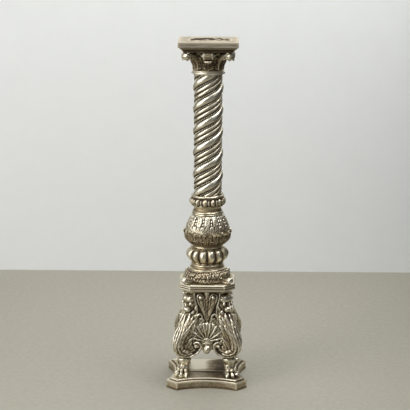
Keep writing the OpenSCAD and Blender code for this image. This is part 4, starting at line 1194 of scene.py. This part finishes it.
volute = {"radius": 12.0, "half": 11.5, "cord": 2.3, "turns": 1.6, "waist": 0.24}
voluteEye = cornerSpot(97, 0, 1056.4)
lines = []
scroll(lines, voluteEye, across, outward, **volute)
for s in (-5, 0, 5):  # the stalk behind the cords
    cornerRib(lines, s, [(56, 1040), (66, 1052), (80, 1057), (92, 1058)], (6.5, 8.0, 8.5, 8.0))
for s in (-5, 5):  # the solid leaf between the bell and the scroll
    cornerRib(lines, s, [(43, 1010), (45, 1020), (49, 1031), (56, 1040), (67, 1048), (80, 1052)],
              (4.5, 6.0, 7.0, 7.5, 7.5))
cords = [(50.5, 1009), (51.5, 1020), (54.5, 1031), (61, 1040), (70, 1045.5), (80, 1047), (89, 1046.5)]
for s in (-7.5, -2.5, 2.5, 7.5):  # the cords spread on their way up
    rib(lines, [cornerSpot(r, s * (0.8 + 0.2 * k / 6), z) for k, (r, z) in enumerate(cords)],
        (2.2, 2.8, 3.2, 3.4, 3.2, 2.8, 2.2))
for s, r, z in ((-9, 86, 1046), (9, 86, 1046), (0, 94, 1044.5), (-8, 74, 1042), (8, 74, 1042)):  # curled tips
    cornerRib(lines, s, [(r, z + 5), (r + 1, z + 1.5), (r + 3.4, z + 0.5)], (2.4, 1.9, 0.9), 0.8)
piece = fuse("volute", [ropes("volute_cords", lines)], 1.0, 1)
low = ramp(readPoints(piece)[:, 2], 1050, -12)
cornerCopies(piece, "volute", leafSilver, waxAndPaintedLight=0.46 + 0.22 * low)

roll = {"out": -73, "height": 1056.3, "radius": 11.6, "half": 14.5, "pearls": 8, "ring": 7.4, "pearl": 1.9}
lines = []
scroll(lines, np.array([0, roll["out"], roll["height"]]), np.array([1.0, 0, 0]), np.array([0, -1.0, 0]),
       roll["radius"], roll["half"], 1.8, 1.2)
for side in (-1, 1):  # pearls round both its ends
    for k in range(roll["pearls"]):
        angle = k * fullTurn / roll["pearls"]
        lines.append(bead((side * (roll["half"] + 0.7), roll["out"] + roll["ring"] * math.cos(angle),
                           roll["height"] + roll["ring"] * math.sin(angle)), roll["pearl"]))
rib(lines, [(-14, -70, 1041.5), (-8, -76.5, 1039), (0, -78.5, 1038.2), (8, -76.5, 1039), (14, -70, 1041.5)],
    (1.8, 3.2, 3.5, 3.2, 1.8), 1.2)
for x in (-7, 0, 7):
    rib(lines, [(x, -62, 1039.5), (x, -68, 1039.5), (x, -74, 1040.5)], (2.4, 3.0, 2.6))
piece = fuse("roll", [fuse("roll_body", [cadCopy("roll_front")], 1.4, 4), ropes("roll_beads", lines)], 1.0, 1)
ends = ramp(np.abs(readPoints(piece)[:, 0]), 10.5, 3)
cornerCopies(piece, "roll", leafSilver, sides, 0.62 - 0.34 * ends)
print("capital carved")

# top board: raw wood, its hollow roughly gouged

hollow = {"left": -59, "right": 67, "half": 56, "low": 1090, "high": 1099.2, "floor": 1094.2}
splinters = []
for x, y, long, thick, turn in ((40, -34, 16, 2.6, 0.12), (48, -22, 12, 2.2, -0.2), (-38, -38, 12, 2.4, 0.3),
                                (8, -30, 18, 1.8, -0.1), (-12, 20, 20, 2.0, 0.15), (30, 34, 14, 2.0, 0.05)):
    reach = np.linspace(-1, 1, 9)
    path = np.stack([x + reach * long, y + reach * long * turn, hollow["floor"] + 1.6 * (1 - reach ** 2)], 1)
    splinters.append((path, thick * np.sqrt(1.05 - reach ** 2)))
piece = fuse("rough_top_board", [cadCopy("top_board"), ropes("splinters", splinters)], 1.3, 1)
spots, ways = readPoints(piece), normalsOf(piece)
x, y, z = spots.T
inHollow = ((z < hollow["high"]) & (z > hollow["low"]) & (x > hollow["left"]) & (x < hollow["right"])
            & (np.abs(y) < hollow["half"]))
gouge = unevenness(spots * (0.35, 1.0, 1.0), 9, 1.2, 61) + unevenness(spots, 4.5, 0.6, 62)
scuff = unevenness(spots * (0.25, 1.0, 1.0), 14, 0.32, 63)
lift = np.minimum(np.where(inHollow, gouge, scuff), np.where(inHollow, 1.0, 0.0))
movePoints(piece, spots + ways * lift[:, None])
# painted shade: the board's sides darker than its top; the far rim of the hollow is darker too
paintedSideShade = 1 - np.abs(ways[:, 2])
farRim = inHollow * (ramp(y, 44, 5) * np.clip((20 - x) / 8, 0.25, 1))
hand(piece, "top_board", boardWood,
     waxAndPaintedLight=0.44 + 0.16 * paintedSideShade - 0.24 * inHollow + 0.8 * farRim)
print("board roughed")

# carried-over nodes and the end of the script

hidden = ("core_block", "knop_rod", "capital_dowel", "paw_pegs")
for node, part in frame["nodes"].items():
    if not part.hide_render:
        part.data.materials.clear()
        wood = innerWood if node in hidden else boardWood if node == "top_board" else None
        part.data.materials.append(wood or leafSilver)

meshes = [piece for piece in bpy.data.objects if piece.type == "MESH"]
triangles = sum(len(face.vertices) - 2 for piece in meshes if not piece.hide_render
                for face in piece.data.polygons)
print("pieces", len(meshes), "triangles", triangles)
